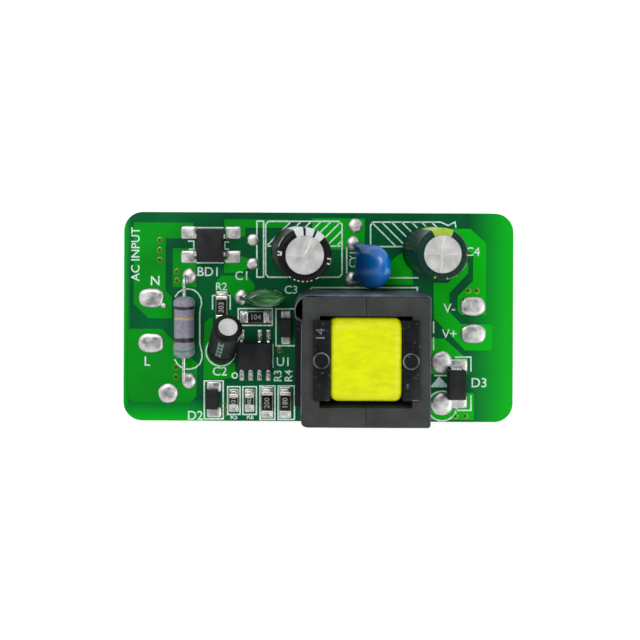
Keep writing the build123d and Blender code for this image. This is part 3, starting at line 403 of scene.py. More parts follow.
def slab(outline, levels, plane=None):
    """A solid of stacked outlines: at each (height, inset) the outline drawn in, both ends one face.

    The outline is points or a function of the inset; plane is (origin, x, y, z axes) where it isn't flat.
    """
    shape = outline if callable(outline) else lambda inset: drawn_in(outline, inset)
    rings = np.stack([np.insert(shape(inset), 2, height, axis=1) for height, inset in levels])
    count, sides = rings.shape[:2]
    level, side = np.meshgrid(np.arange(count - 1), np.arange(sides), indexing="ij")
    here, after = level * sides + side, level * sides + (side + 1) % sides
    walls = np.stack([here, after, after + sides, here + sides], -1).reshape(-1, 4)
    bottom = np.arange(sides - 1, -1, -1)
    top = np.arange((count - 1) * sides, count * sides)
    points = rings.reshape(-1, 3)
    uv = points[:, :2].copy()
    if plane is not None:
        origin, x, y, z = (np.asarray(v, float) for v in plane)
        points = origin + points[:, :1] * x + points[:, 1:2] * y + points[:, 2:] * z
    return points, walls, [bottom, top], uv


def soft_block(low, high, edge=0.12, corner=None, top_edge=None):
    """An upright block between two corners, drawn in at its ends by edge, 0.3 edge and 0 in three steps."""
    low, high = np.asarray(low, float), np.asarray(high, float)
    centre = (low + high)[:2] / 2
    size = (high - low)[:2]
    outline = bar_outline(*size, corner or edge, centre, steps=4)
    top = edge if top_edge is None else top_edge
    ease = [(0, 1), (0.3, 0.3), (1, 0)]
    levels = [(low[2] + h * edge, d * edge) for h, d in ease]
    levels += [(high[2] - h * top, d * top) for h, d in reversed(ease)]
    return slab(outline, levels)


def mound(place, low, size, rise, phase=0.0, tip=0.0, square=2.0, wobble=0.02, steps=32, rows=9, full=0.6):
    """Solder over an oval |x/a|^q + |y/b|^q = 1 with q square.

    Without a tip it is a pillow: radius cos(s)^full, height sin(s). With a tip it climbs a lead in a
    hollow curve: radius tip + (1 - tip)(1 - s)^1.9, height s.
    """
    s = np.linspace(0, 1, rows)
    if tip:
        profile = np.column_stack([tip + (1 - tip) * (1 - s) ** 1.9, s])
    else:
        profile = np.column_stack([np.cos(s * pi / 2) ** full, np.sin(s * pi / 2)])
    return oval_mound(place, low, size, rise, profile, phase, square, wobble, steps)


def oval_mound(place, low, size, rise, profile, phase, square, wobble, steps):
    """Rows of (share of the oval, share of the rise) over an uneven oval.

    The oval swells by 1 + wobble sin(2a + phase) cos(3a - 2 phase).
    """
    angle = np.linspace(0, 2 * pi, steps + 1)
    swell = 1 + wobble * np.sin(2 * angle + phase) * np.cos(3 * angle - 2 * phase)
    c, s = np.cos(angle), np.sin(angle)
    c, s = np.sign(c) * np.abs(c) ** (2 / square), np.sign(s) * np.abs(s) ** (2 / square)
    share, height = profile[:, :1], low + rise * profile[:, 1:]
    x = place[0] + share * c * swell * size[0] / 2
    y = place[1] + share * s * swell * size[1] / 2
    rings = np.stack([x, y, np.broadcast_to(height, x.shape)], -1)
    ends = [np.broadcast_to((*place, height[i, 0]), rings[:1].shape) for i in (0, -1)]
    return net(np.concatenate([ends[0], rings, ends[1]]), flip=rise < 0)


# Materials


def finish(name, roughness=0.5, metallic=0.0, colour=(0.5, 0.5, 0.5), ior=1.5, **more):
    """A new material with its constant values on the shader's own sockets."""
    material = bpy.data.materials.new(name)
    material.use_nodes = True
    shader = material.node_tree.nodes["Principled BSDF"]
    shader.inputs["Base Color"].default_value = (*colour, 1)
    shader.inputs["Roughness"].default_value = roughness
    shader.inputs["Metallic"].default_value = metallic
    shader.inputs["IOR"].default_value = ior
    for socket, value in more.items():
        shader.inputs[socket.replace("_", " ")].default_value = value
    return material


def node(material, kind, inputs=None, **settings):
    """A new shader node: settings are its properties, inputs its sockets' values or links."""
    made = material.node_tree.nodes.new(kind)
    for key, value in settings.items():
        setattr(made, key, value)
    for key, value in (inputs or {}).items():
        if isinstance(value, bpy.types.NodeSocket):
            material.node_tree.links.new(value, made.inputs[key])
        else:
            made.inputs[key].default_value = value
    return made


def to_shader(material, socket, value):
    """Link a value to one of the shader's sockets."""
    material.node_tree.links.new(value, material.node_tree.nodes["Principled BSDF"].inputs[socket])


def place_of(material):
    """Object coordinates, in metres."""
    return node(material, "ShaderNodeTexCoord").outputs["Object"]


def grain(material, scale, detail=3.0, rough=0.55, stretch=None):
    """Noise on Object coordinates, scale in waves for a millimetre, stretched along some axes."""
    spot = place_of(material)
    if stretch:
        spot = node(material, "ShaderNodeMapping", {"Vector": spot, "Scale": stretch}).outputs["Vector"]
    made = node(
        material, "ShaderNodeTexNoise",
        {"Vector": spot, "Scale": scale / MM, "Detail": detail, "Roughness": rough},
    )
    return made.outputs["Fac"]


def calc(material, operation, a, b=0.0, clamp=False):
    """One step of arithmetic between links or numbers."""
    made = node(material, "ShaderNodeMath", {0: a, 1: b}, operation=operation, use_clamp=clamp)
    return made.outputs[0]


def ramp(material, value, low, high, to_low=0.0, to_high=1.0):
    """The value carried from one span to another, and held at its ends."""
    made = node(
        material, "ShaderNodeMapRange",
        {"Value": value, "From Min": low, "From Max": high, "To Min": to_low, "To Max": to_high},
    )
    return made.outputs["Result"]


def blended(material, share, a, b):
    """Colour a where share is 0, colour b where it is 1."""
    made = node(material, "ShaderNodeMix", data_type="RGBA")
    for socket, value in ((made.inputs[0], share), (made.inputs[6], a), (made.inputs[7], b)):
        if isinstance(value, bpy.types.NodeSocket):
            material.node_tree.links.new(value, socket)
        else:
            socket.default_value = (*value, 1) if isinstance(value, tuple) else value
    return made.outputs[2]


def raised(material, height, distance, strength=0.5, after=None):
    """A bump of that many millimetres."""
    inputs = {"Height": height, "Distance": distance * MM, "Strength": strength}
    if after is not None:
        inputs["Normal"] = after
    return node(material, "ShaderNodeBump", inputs).outputs["Normal"]


def between(material, value, low, high, soft=0.004):
    """1 where the value lies between low and high, with soft ends."""
    up = ramp(material, value, low - soft, low + soft)
    down = ramp(material, value, high - soft, high + soft, 1.0, 0.0)
    return calc(material, "MULTIPLY", up, down)


def srgb(red, green, blue):
    """A colour as read off a screen, 0 to 255, made linear."""
    value = np.array([red, green, blue]) / 255
    return tuple(np.where(value <= 0.04045, value / 12.92, ((value + 0.055) / 1.055) ** 2.4).tolist())


# Print and paint: the resistor's bands as (middle along Y, half width, colour), and the sleeves' inks
RESISTOR_BANDS = [
    (1.52, 0.24, srgb(26, 24, 26)), (0.05, 0.13, srgb(178, 152, 84)), (-2.98, 0.28, srgb(26, 24, 26)),
    (-4.4, 0.14, srgb(36, 124, 84)),
]
PALE_PRINT = srgb(190, 196, 196)
GREY_PRINT = srgb(120, 136, 132)
WHITE_PRINT = srgb(210, 212, 214)
LIME_PRINT = srgb(150, 172, 62)
GOLD_PRINT = srgb(176, 160, 52)
DARK_PRINT = srgb(1, 14, 11)

# Sleeve print as patches of (u from, u to, v from, v to, ink): u round the sleeve, v up its profile
SHOULDER_DOTS = [0.401, 0.434, 0.458, 0.485, 0.512, 0.538, 0.572, 0.584]
INPUT_SLEEVE_PRINT = [
    (0.011, 0.067, 0.5, 0.985, PALE_PRINT), (0.939, 0.994, 0.5, 0.985, PALE_PRINT),
    (0.867, 0.922, 0.5, 0.985, PALE_PRINT), (0.226, 0.233, 0.6, 0.78, PALE_PRINT),
    (0.233, 0.245, 0.72, 0.78, PALE_PRINT), (0.245, 0.252, 0.6, 0.78, PALE_PRINT),
    (0.69, 0.698, 0.56, 0.76, PALE_PRINT), (0.698, 0.722, 0.56, 0.62, PALE_PRINT),
    (0.722, 0.73, 0.6, 0.8, PALE_PRINT), (0.14, 0.2, 0.56, 0.6, PALE_PRINT),
]
INPUT_SLEEVE_PRINT += [(u, u + 0.009, 0.62, 0.68, WHITE_PRINT) for u in SHOULDER_DOTS]
OUTPUT_SLEEVE_PRINT = [
    (0.0, 0.069, 0.51, 0.985, LIME_PRINT), (0.931, 1.0, 0.51, 0.985, LIME_PRINT),
    (0.444, 0.454, 0.62, 0.74, GOLD_PRINT), (0.526, 0.534, 0.62, 0.72, GOLD_PRINT),
    (0.534, 0.6, 0.6, 0.64, GOLD_PRINT), (0.64, 0.7, 0.6, 0.64, GOLD_PRINT),
    (0.742, 0.75, 0.62, 0.72, GOLD_PRINT),
]
OUTPUT_SLEEVE_PRINT += [(u, u + 0.012, 0.506, 0.532, DARK_PRINT) for u in 0.13 + 0.026 * np.arange(5)]
BIAS_SLEEVE_PRINT = [
    (u, u + 0.014, v, v + 0.006, GREY_PRINT)
    for v in 0.502 + 0.008 * np.arange(4) for u in (0.712, 0.757)
]
BIAS_SLEEVE_PRINT += [(0.712, 0.771, v, v + 0.003, GREY_PRINT) for v in 0.5035 + 0.0075 * np.arange(4)]
BIAS_SLEEVE_PRINT += [(0.925, 0.985, 0.53, 0.62, GREY_PRINT)]


def mask_finish():
    """Green solder mask: bright over raised copper, dark over laminate, layered edges; painted light
    brightens it towards +X and at the right, left and front-left rims.
    """
    m = finish("solder_mask_green", 0.34, Specular_IOR_Level=0.1)
    spot = node(m, "ShaderNodeSeparateXYZ", {"Vector": place_of(m)})
    height = spot.outputs["Z"]
    on_copper = ramp(m, height, (BOARD_TOP + 0.02) * MM, (BOARD_TOP + 0.04) * MM)
    cloud = grain(m, 0.12, 2.0)
    fine = grain(m, 2.2, 4.0)
    along, across = spot.outputs["X"], spot.outputs["Y"]
    # Painted light: the copper is brightened towards +X.
    painted_light_rightwards = ramp(m, along, -20 * MM, 26 * MM)
    copper = blended(m, ramp(m, cloud, 0.35, 0.65), srgb(4, 124, 20), srgb(2, 142, 24))
    copper = blended(m, painted_light_rightwards, copper, srgb(0, 172, 14))
    bare = blended(m, ramp(m, cloud, 0.35, 0.65), srgb(0, 72, 40), srgb(1, 92, 46))
    # Painted light: bare laminate is brightened at the right, left and front-left rims.
    right_rim = ramp(m, along, 21.5 * MM, 27.2 * MM)
    left_rim = ramp(m, along, -27.0 * MM, -27.9 * MM, 0, 0.8)
    front_rim = ramp(m, across, -11.8 * MM, -14.6 * MM)
    front_left = calc(m, "MULTIPLY", front_rim, ramp(m, along, -12 * MM, -19 * MM, 0, 0.9))
    painted_rim_light = calc(m, "MAXIMUM", calc(m, "MAXIMUM", right_rim, left_rim), front_left)
    bare = blended(m, painted_rim_light, bare, srgb(0, 168, 22))
    top = blended(m, on_copper, bare, copper)
    top = blended(m, ramp(m, fine, 0.3, 0.75, 0.0, 0.15), top, srgb(1, 64, 28))
    facing = node(m, "ShaderNodeSeparateXYZ", {"Vector": node(m, "ShaderNodeNewGeometry").outputs["Normal"]})
    upright = calc(m, "ABSOLUTE", facing.outputs["Z"])
    on_edge = ramp(m, upright, 0.4, 0.6, 1.0, 0.0)
    below_top = calc(m, "LESS_THAN", height, (BOARD_TOP + 0.01) * MM)
    on_edge = calc(m, "MULTIPLY", on_edge, below_top)
    waves = {"Vector": place_of(m), "Scale": 0.9 / MM, "Distortion": 1.5, "Detail": 2.0}
    layers = node(m, "ShaderNodeTexWave", waves, bands_direction="Z").outputs["Fac"]
    edge = blended(m, layers, srgb(96, 118, 66), srgb(140, 150, 92))
    to_shader(m, "Base Color", blended(m, on_edge, top, edge))
    to_shader(m, "Roughness", ramp(m, fine, 0.3, 0.7, 0.26, 0.42))
    weave = node(m, "ShaderNodeTexWave", {"Vector": place_of(m), "Scale": 0.5 / MM}, bands_direction="X")
    weft = node(m, "ShaderNodeTexWave", {"Vector": place_of(m), "Scale": 0.5 / MM}, bands_direction="Y")
    cloth = calc(m, "MULTIPLY", weave.outputs["Fac"], weft.outputs["Fac"])
    to_shader(m, "Normal", raised(m, fine, 0.02, 0.25, raised(m, cloth, 0.012, 0.3)))
    return m


def ink_finish():
    """Legend ink: pale, slightly worn."""
    m = finish("legend_ink", 0.6)
    wear = grain(m, 3.0, 4.0)
    to_shader(m, "Base Color", blended(m, ramp(m, wear, 0.3, 0.6), srgb(156, 194, 184), srgb(206, 226, 220)))
    return m


def solder_finish():
    """Bright tin solder: frosty patches, pits and a mirror-like skin."""
    m = finish("solder_tin", 0.35, 1.0)
    frost = grain(m, 0.9, 5.0, 0.6)
    fine = grain(m, 8.0, 3.0)
    colour = blended(m, ramp(m, frost, 0.35, 0.65), srgb(168, 167, 168), srgb(226, 224, 222))
    to_shader(m, "Base Color", colour)
    to_shader(m, "Roughness", ramp(m, frost, 0.3, 0.7, 0.28, 0.5))
    to_shader(m, "Normal", raised(m, fine, 0.03, 0.4, raised(m, frost, 0.08, 0.3)))
    return m


def tinned_finish():
    """Tinned wire and strip: drawn lines and small dull spots."""
    m = finish("tinned_lead", 0.3, 1.0)
    spots = grain(m, 4.0, 4.0)
    colour = blended(m, ramp(m, spots, 0.3, 0.7), srgb(150, 152, 154), srgb(222, 224, 224))
    to_shader(m, "Base Color", colour)
    to_shader(m, "Roughness", ramp(m, spots, 0.3, 0.7, 0.2, 0.42))
    to_shader(m, "Normal", raised(m, spots, 0.015, 0.4))
    return m


def ferrite_finish():
    """Sintered ferrite: matte dark grey with fine pits and pale scuffs."""
    m = finish("ferrite_grey", 0.62, Specular_IOR_Level=0.3)
    fine = grain(m, 7.0, 5.0, 0.7)
    broad = grain(m, 0.35, 3.0)
    base = blended(m, ramp(m, broad, 0.35, 0.65), srgb(40, 43, 41), srgb(52, 55, 52))
    base = blended(m, ramp(m, fine, 0.62, 0.78, 0.0, 0.5), base, srgb(92, 95, 90))
    base = blended(m, ramp(m, fine, 0.36, 0.26, 0.0, 0.6), base, srgb(24, 25, 25))
    to_shader(m, "Base Color", base)
    to_shader(m, "Roughness", ramp(m, fine, 0.3, 0.7, 0.5, 0.75))
    to_shader(m, "Normal", raised(m, fine, 0.05, 0.5))
    return m


def moulded_finish(name, dark, pale, roughness=0.45, scale=5.0, scuffs=0.0):
    """Moulded plastic with a fine grain, and pale scuffs as strong as scuffs says."""
    m = finish(name, roughness, Specular_IOR_Level=0.14)
    fine = grain(m, scale, 4.0)
    broad = grain(m, 0.4, 2.0)
    base = blended(m, ramp(m, broad, 0.35, 0.65), dark, pale)
    base = blended(m, ramp(m, fine, 0.66, 0.8, 0.0, 0.3), base, pale)
    if scuffs:
        worn = grain(m, 1.7, 5.0, 0.75)
        base = blended(m, ramp(m, worn, 0.63, 0.7, 0.0, scuffs), base, srgb(168, 170, 172))
    to_shader(m, "Base Color", base)
    to_shader(m, "Roughness", ramp(m, fine, 0.3, 0.7, roughness - 0.08, roughness + 0.1))
    to_shader(m, "Normal", raised(m, fine, 0.03, 0.35))
    return m


def yellow_tape_finish():
    """Polyester tape: saturated yellow with faint wrinkles."""
    m = finish("yellow_tape", 0.35, Specular_IOR_Level=0.25)
    wrinkle = grain(m, 0.5, 3.0, 0.6, (1.0, 2.2, 1.0))
    fine = grain(m, 4.0, 3.0)
    base = blended(m, ramp(m, wrinkle, 0.35, 0.65), srgb(196, 204, 0), srgb(212, 220, 0))
    to_shader(m, "Base Color", base)
    to_shader(m, "Roughness", ramp(m, fine, 0.3, 0.7, 0.24, 0.4))
    to_shader(m, "Normal", raised(m, wrinkle, 0.12, 0.35, raised(m, fine, 0.01, 0.3)))
    return m


def clear_tape_finish():
    """Glossy bluish-grey tape over the dark core, with painted glints as pale streaks."""
    m = finish("core_tape_grey", 0.3)
    wave = grain(m, 0.45, 3.0, 0.6, (1.0, 1.0, 0.5))
    # Painted highlight: pale streaks stand for glints on the glossy tape.
    painted_glints = grain(m, 2.4, 3.0, 0.6, (0.5, 0.5, 2.0))
    base = blended(m, ramp(m, wave, 0.35, 0.65), srgb(62, 66, 78), srgb(104, 108, 126))
    to_shader(m, "Base Color", blended(m, ramp(m, painted_glints, 0.66, 0.74, 0.0, 0.7), base, srgb(190, 192, 200)))
    to_shader(m, "Normal", raised(m, wave, 0.15, 0.4))
    return m


def can_metal_finish():
    """Drawn aluminium: satin with faint scratches and smudges."""
    m = finish("can_aluminium", 0.45, 0.8)
    smudge = grain(m, 0.6, 4.0, 0.6)
    scratch = grain(m, 5.0, 3.0, 0.6, (1.0, 0.15, 1.0))
    colour = blended(m, ramp(m, smudge, 0.3, 0.7), srgb(176, 176, 174), srgb(206, 206, 204))
    to_shader(m, "Base Color", colour)
    to_shader(m, "Roughness", ramp(m, smudge, 0.3, 0.7, 0.38, 0.55))
    to_shader(m, "Normal", raised(m, scratch, 0.01, 0.3, raised(m, smudge, 0.08, 0.2)))
    return m


def round_uv(m):
    """The piece's own UV: u round it and v along it."""
    uv = node(m, "ShaderNodeUVMap", uv_map="UVMap").outputs["UV"]
    split = node(m, "ShaderNodeSeparateXYZ", {"Vector": uv})
    return split.outputs["X"], split.outputs["Y"]


def sleeve_finish(name, ground, patches):
    """Shrink sleeve: glossy film with patches of print."""
    m = finish(name, 0.36, Specular_IOR_Level=0.1)
    u, v = round_uv(m)
    fine = grain(m, 3.0, 3.0)
    colour = blended(m, ramp(m, fine, 0.3, 0.7), ground, tuple(min(1.0, c * 1.5 + 0.004) for c in ground))
    for low_u, high_u, low_v, high_v, ink in patches:
        inside = calc(
            m, "MULTIPLY", between(m, u, low_u, high_u, 0.003), between(m, v, low_v, high_v, 0.002)
        )
        worn = calc(m, "MULTIPLY", inside, ramp(m, fine, 0.25, 0.4, 0.6, 1.0))
        colour = blended(m, worn, colour, ink)
    to_shader(m, "Base Color", colour)
    to_shader(m, "Roughness", ramp(m, fine, 0.3, 0.7, 0.3, 0.44))
    to_shader(m, "Normal", raised(m, fine, 0.02, 0.25))
    return m


def resistor_finish():
    """Grey-lavender flameproof coat with painted bands across it."""
    m = finish("resistor_coat", 0.42)
    length = node(m, "ShaderNodeSeparateXYZ", {"Vector": place_of(m)}).outputs["Y"]
    mottle = grain(m, 2.5, 4.0)
    colour = blended(m, ramp(m, mottle, 0.3, 0.7), srgb(108, 107, 120), srgb(134, 132, 146))
    wander = calc(m, "MULTIPLY", calc(m, "SUBTRACT", grain(m, 0.6, 2.0), 0.5), 0.5 * MM)
    length = calc(m, "ADD", length, wander)
    for middle, half, ink in RESISTOR_BANDS:
        inside = between(m, length, (middle - half) * MM, (middle + half) * MM, 0.04 * MM)
        colour = blended(m, inside, colour, ink)
    to_shader(m, "Base Color", colour)
    to_shader(m, "Roughness", ramp(m, mottle, 0.3, 0.7, 0.34, 0.5))
    to_shader(m, "Normal", raised(m, mottle, 0.04, 0.4))
    return m


def dipped_finish(name, deep, bright, low, high, painted_glints=0.0):
    """A glossy dipped coat with painted light: brighter from X low to X high, with painted highlight streaks
    there as strong as the last argument says.
    """
    m = finish(name, 0.24, Coat_Weight=0.25, Coat_Roughness=0.1)
    cloud = grain(m, 0.5, 3.0)
    along = node(m, "ShaderNodeSeparateXYZ", {"Vector": place_of(m)}).outputs["X"]
    # Painted light: the coat brightens towards +X, where the light falls.
    painted_light_rightwards = ramp(m, along, low * MM, high * MM)
    share = calc(m, "ADD", ramp(m, cloud, 0.5, 1.0, 0.0, 0.25), painted_light_rightwards, clamp=True)
    base = blended(m, share, deep, bright)
    # Painted highlight: pale streaks towards +X stand for glints on the gloss.
    drawn = grain(m, 1.4, 3.0, 0.6, (0.35, 2.0, 0.35))
    pale = calc(m, "MULTIPLY", ramp(m, drawn, 0.5, 0.66, 0.0, painted_glints), painted_light_rightwards)
    to_shader(m, "Base Color", blended(m, pale, base, srgb(150, 196, 140)))
    to_shader(m, "Normal", raised(m, cloud, 0.15, 0.35))
    return m


def plain_metal(name, dark, pale, roughness=0.3):
    """Metal with broad smudges."""
    m = finish(name, roughness, 1.0)
    smudge = grain(m, 2.0, 4.0)
    to_shader(m, "Base Color", blended(m, ramp(m, smudge, 0.3, 0.7), dark, pale))
    to_shader(m, "Roughness", ramp(m, smudge, 0.3, 0.7, roughness - 0.08, roughness + 0.12))
    to_shader(m, "Normal", raised(m, smudge, 0.02, 0.3))
    return m


MASK = mask_finish()
INK = ink_finish()
SOLDER = solder_finish()
TINNED = tinned_finish()
FERRITE = ferrite_finish()
BOBBIN_PLASTIC = moulded_finish("bobbin_plastic", srgb(12, 13, 14), srgb(24, 25, 27), 0.32, 5.0, 0.5)
WORN_PLASTIC = moulded_finish("bobbin_worn", srgb(30, 31, 32), srgb(118, 120, 122), 0.5, 2.6)
PACKAGE_EPOXY = moulded_finish("package_epoxy", srgb(26, 27, 28), srgb(40, 41, 42), 0.5, 8.0)
YELLOW_TAPE = yellow_tape_finish()
CORE_TAPE = clear_tape_finish()
CAN_METAL = can_metal_finish()
RESISTOR_COAT = resistor_finish()
# Both dips carry painted light, brighter towards +X; the green one also has painted highlight streaks.
BLUE_DIP = dipped_finish("blue_dip", srgb(0, 52, 98), srgb(0, 112, 196), 6.0, 9.6)
GREEN_DIP = dipped_finish("green_dip", srgb(6, 56, 22), srgb(16, 92, 34), -9.5, -5.5, 0.4)
# Copper winding, its brown partly real and partly painted shade: darkened to stand for the shade beside the
# yellow tape.
SHADED_COPPER_WIRE = plain_metal("copper_wire_painted_shade", srgb(56, 28, 16), srgb(96, 52, 30))
GOLD_RING = plain_metal("gold_plated_ring", srgb(120, 124, 52), srgb(164, 160, 84))
PLATING = plain_metal("chip_plating", srgb(190, 186, 172), srgb(232, 230, 220), 0.35)
RUBBER = moulded_finish("seal_rubber", srgb(22, 22, 22), srgb(34, 34, 34), 0.7)
CHIP_GLAZE = moulded_finish("chip_glaze", srgb(22, 22, 24), srgb(34, 34, 36), 0.22)
CHIP_BODY = moulded_finish("chip_ceramic", srgb(196, 190, 176), srgb(222, 218, 206), 0.6)
CHIP_MARK = moulded_finish("chip_marking", srgb(128, 132, 130), srgb(160, 162, 160), 0.5)
SLEEVES = {
    "input_capacitor": sleeve_finish("sleeve_black_tall", srgb(6, 6, 7), INPUT_SLEEVE_PRINT),
    "output_capacitor": sleeve_finish("sleeve_green_tall", srgb(3, 40, 32), OUTPUT_SLEEVE_PRINT),
    "bias_capacitor": sleeve_finish("sleeve_black_small", srgb(9, 11, 11), BIAS_SLEEVE_PRINT),
}


# Pieces


def piece(name, shells, material, nodes=(), sharp=40):
    """One mesh from shells in millimetres; its seams and poles are merged."""
    starts = np.cumsum([0] + [len(shell[0]) for shell in shells])
    faces = []
    for (points, quads, others, uv), start in zip(shells, starts):
        faces += (quads + start).tolist() + [(face + start).tolist() for face in others]
    points = np.vstack([shell[0] for shell in shells]) * MM
    uv = np.vstack([shell[3] for shell in shells])
    mesh = bpy.data.meshes.new(name)
    mesh.from_pydata(points.tolist(), [], faces)
    layer = mesh.uv_layers.new(name="UVMap")
    corners = np.empty(len(mesh.loops), dtype=np.int32)
    mesh.loops.foreach_get("vertex_index", corners)
    layer.data.foreach_set("uv", uv[corners].ravel())
    work = bmesh.new()
    work.from_mesh(mesh)
    bmesh.ops.remove_doubles(work, verts=work.verts, dist=2e-7)
    bmesh.ops.recalc_face_normals(work, faces=work.faces)
    work.to_mesh(mesh)
    work.free()
    corners_each = np.empty(len(mesh.polygons), dtype=np.int32)
    mesh.polygons.foreach_get("loop_total", corners_each)
    mesh.polygons.foreach_set("use_smooth", corners_each <= 4)
    mesh.set_sharp_from_angle(angle=radians(sharp))
    mesh.materials.append(material)
    made = bpy.data.objects.new(name, mesh)
    bpy.context.scene.collection.objects.link(made)
    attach(made, "root")
    if nodes:
        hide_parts(*nodes)
    return made


def dressed(node_name, material):
    """A CAD node kept as it is, in a finished material."""
    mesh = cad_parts[node_name].data
    mesh.materials.clear()
    mesh.materials.append(material)


def can_axes(can):
    """A can's foot, the unit vector along its row of leads, the one square to it and its axis."""
    tilt, turn, line = radians(can["lean"]), radians(can["heading"]), radians(can["lead_line"])
    axis = (sin(tilt) * cos(turn), sin(tilt) * sin(turn), cos(tilt))
    across, square, axis = axes_for(axis, (cos(line), sin(line), 0))
    return np.array([*can["seat"], PAD_TOP + can["lift"]]), across, square, axis


def can_lead_ways(can):
    """For each lead where it leaves the seal, p, and its knee, p - axis (p_z - knee height) / axis_z."""
    foot, across, square, axis = can_axes(can)
    ways_out = [foot + across * side * can["pitch"] / 2 for side in (-1, 1)]
    return [(p, p - axis * (p[2] - PAD_TOP - CAN_LEAD_KNEE) / axis[2]) for p in ways_out]


def sleeve_profile(radius, length, disc):
    """A shrink sleeve from under its hem to its lip: a sin^2 groove, then a quarter-circle shoulder."""
    t = np.linspace(0, pi / 2, 9)
    groove_at = np.linspace(*GROOVE, 11)
    groove = GROOVE_DEPTH * np.sin(np.linspace(0, pi, 11)) ** 2
    hem = [(radius - SLEEVE - 0.3, 0.06), (radius - SLEEVE, 0.0), (radius - 0.04, 0.04), (radius, 0.14)]
    wall = [(radius - g, h) for g, h in zip(groove, groove_at)]
    shoulder = [(radius - SHOULDER * (1 - cos(a)), length - SHOULDER * (1 - sin(a))) for a in t]
    lip = [(disc / 2 + 0.12, length), (disc / 2 + 0.03, length - 0.02), (disc / 2, length - 0.07)]
    inner = [(disc / 2, length - SLEEVE), (disc / 2 + 0.3, length - SLEEVE - 0.03)]
    return np.array(hem + wall + shoulder + lip + inner)


def scored_disc(can, foot, across, square, axis):
    """The can's flat top on a polar grid: height = -depth exp(-(d / w)^2) over the scores, round at its rim.

    d is the distance to the nearest score line, so each score is a smooth shallow groove.
    """
    radius = np.concatenate([np.linspace(0, 0.98, 44), [1.0, 1.0]]) * (can["disc"] / 2 + 0.2)
    angle = np.linspace(0, 2 * pi, 289)
    r, a = np.meshgrid(radius, angle, indexing="ij")
    x, y = r * np.cos(a), r * np.sin(a)
    depth = np.zeros_like(x)
    reach = can["disc"] * 0.45
    for score in can["scores"]:
        turn = radians(score - can["lead_line"])
        along = x * cos(turn) + y * sin(turn)
        off = -x * sin(turn) + y * cos(turn)
        off = off + 0.06 * np.sin(along * 2.4 + score)
        beyond = np.clip(-along, 0, None) + np.clip(along - reach, 0, None)
        depth = np.maximum(depth, np.exp(-((off**2 + beyond**2) / SCORE_WIDTH**2)))
    dish = DISC_DISH * (1 - (r / radius[-1]) ** 2)
    height = can["length"] - SLEEVE + 0.02 - SCORE_DEPTH * depth - dish
    height[-1] -= 0.5
    points = foot + x[..., None] * across + y[..., None] * square + height[..., None] * axis
    return net(points)


def can_capacitor(name, can):
    """Sleeve, top disc, seal and leads of one can capacitor."""
    foot, across, square, axis = can_axes(can)
    radius = can["diameter"] / 2
    skin = turned(sleeve_profile(radius, can["length"], can["disc"]), foot, axis, across, 96)
    piece(f"{name}_sleeve_skin", [skin], SLEEVES[name], [f"{name}_sleeve"], 50)
    inside = radius - SLEEVE - 0.05
    wall = turned([(inside, CAN_WALL_FROM), (inside, can["length"] - 0.9)], foot, axis, across, 48)
    disc = scored_disc(can, foot, across, square, axis)
    piece(f"{name}_top_disc", [disc, wall], CAN_METAL, [f"{name}_can"], 60)
    rim = radius - SLEEVE - 0.3
    seal = [(0, 0.9), (rim, 0.9), (rim, 0.2), (rim - 0.12, 0.14), (0.0, 0.14)]
    piece(f"{name}_seal_rubber", [turned(seal, foot, axis, across, 48)], RUBBER, [f"{name}_seal"])
    wires = []
    for way_out, knee in can_lead_ways(can):
        route = eased([way_out + axis * 0.85, knee, (*knee[:2], LEAD_END)], 0.3)
        wires.append(carried(route, round_section(LEAD / 2), (0, 1, 0.05)))
    piece(f"{name}_lead_pair", wires, TINNED, [f"{name}_leads"])


def ring(place, low, high, inner, outer, steps=24):
    """A flat ring standing between two heights."""
    profile = [
        (inner, low), (outer, low), (outer, high - 0.01), (outer - 0.03, high), (inner, high), (inner, low),
    ]
    return turned(profile, (*place, 0), steps=steps)


def package_body(package):
    """A moulded block, drawn in by PACKAGE_SLOPE times the height from its parting line."""
    low, middle, high = (PAD_TOP + package[key] for key in ("gap", "parting", "height"))
    outline = bar_outline(*package["size"], PACKAGE_CORNER, package["centre"], 3)
    below, above = (middle - low) * PACKAGE_SLOPE, (high - middle) * PACKAGE_SLOPE
    levels = [
        (low, below + 0.06), (low + 0.05, below), (middle, 0), (high - 0.07, above),
        (high - 0.02, above + 0.03), (high, above + 0.09),
    ]
    return slab(outline, levels)


def bent_strip(x, y, heading, half, rise, width, shoulder, foot):
    """A flat lead that leaves a body at rise, turns down at its shoulder and lies flat to its foot."""
    out = np.array([cos(heading), sin(heading), 0])
    side = np.array([-sin(heading), cos(heading), 0])
    route = [(-STRIP_IN_BODY, rise), (shoulder, rise), (shoulder + 0.12, STRIP / 2), (foot, STRIP / 2)]
    points = [np.array([x, y, PAD_TOP + h]) + out * (half + reach) for reach, h in route]
    return carried(eased(points, min(0.28, rise * 0.4)), flat_section(STRIP, width), side)


def controller_columns():
    """Side, column and X of each of the controller's pins: four in front, three behind."""
    middle = PACKAGES["controller"]["centre"][0]
    pins = [(side, column) for side, columns in ((-1, (0, 1, 2, 3)), (1, (0, 2, 3))) for column in columns]
    return [(side, column, middle + (column - 1.5) * CONTROLLER_PITCH) for side, column in pins]


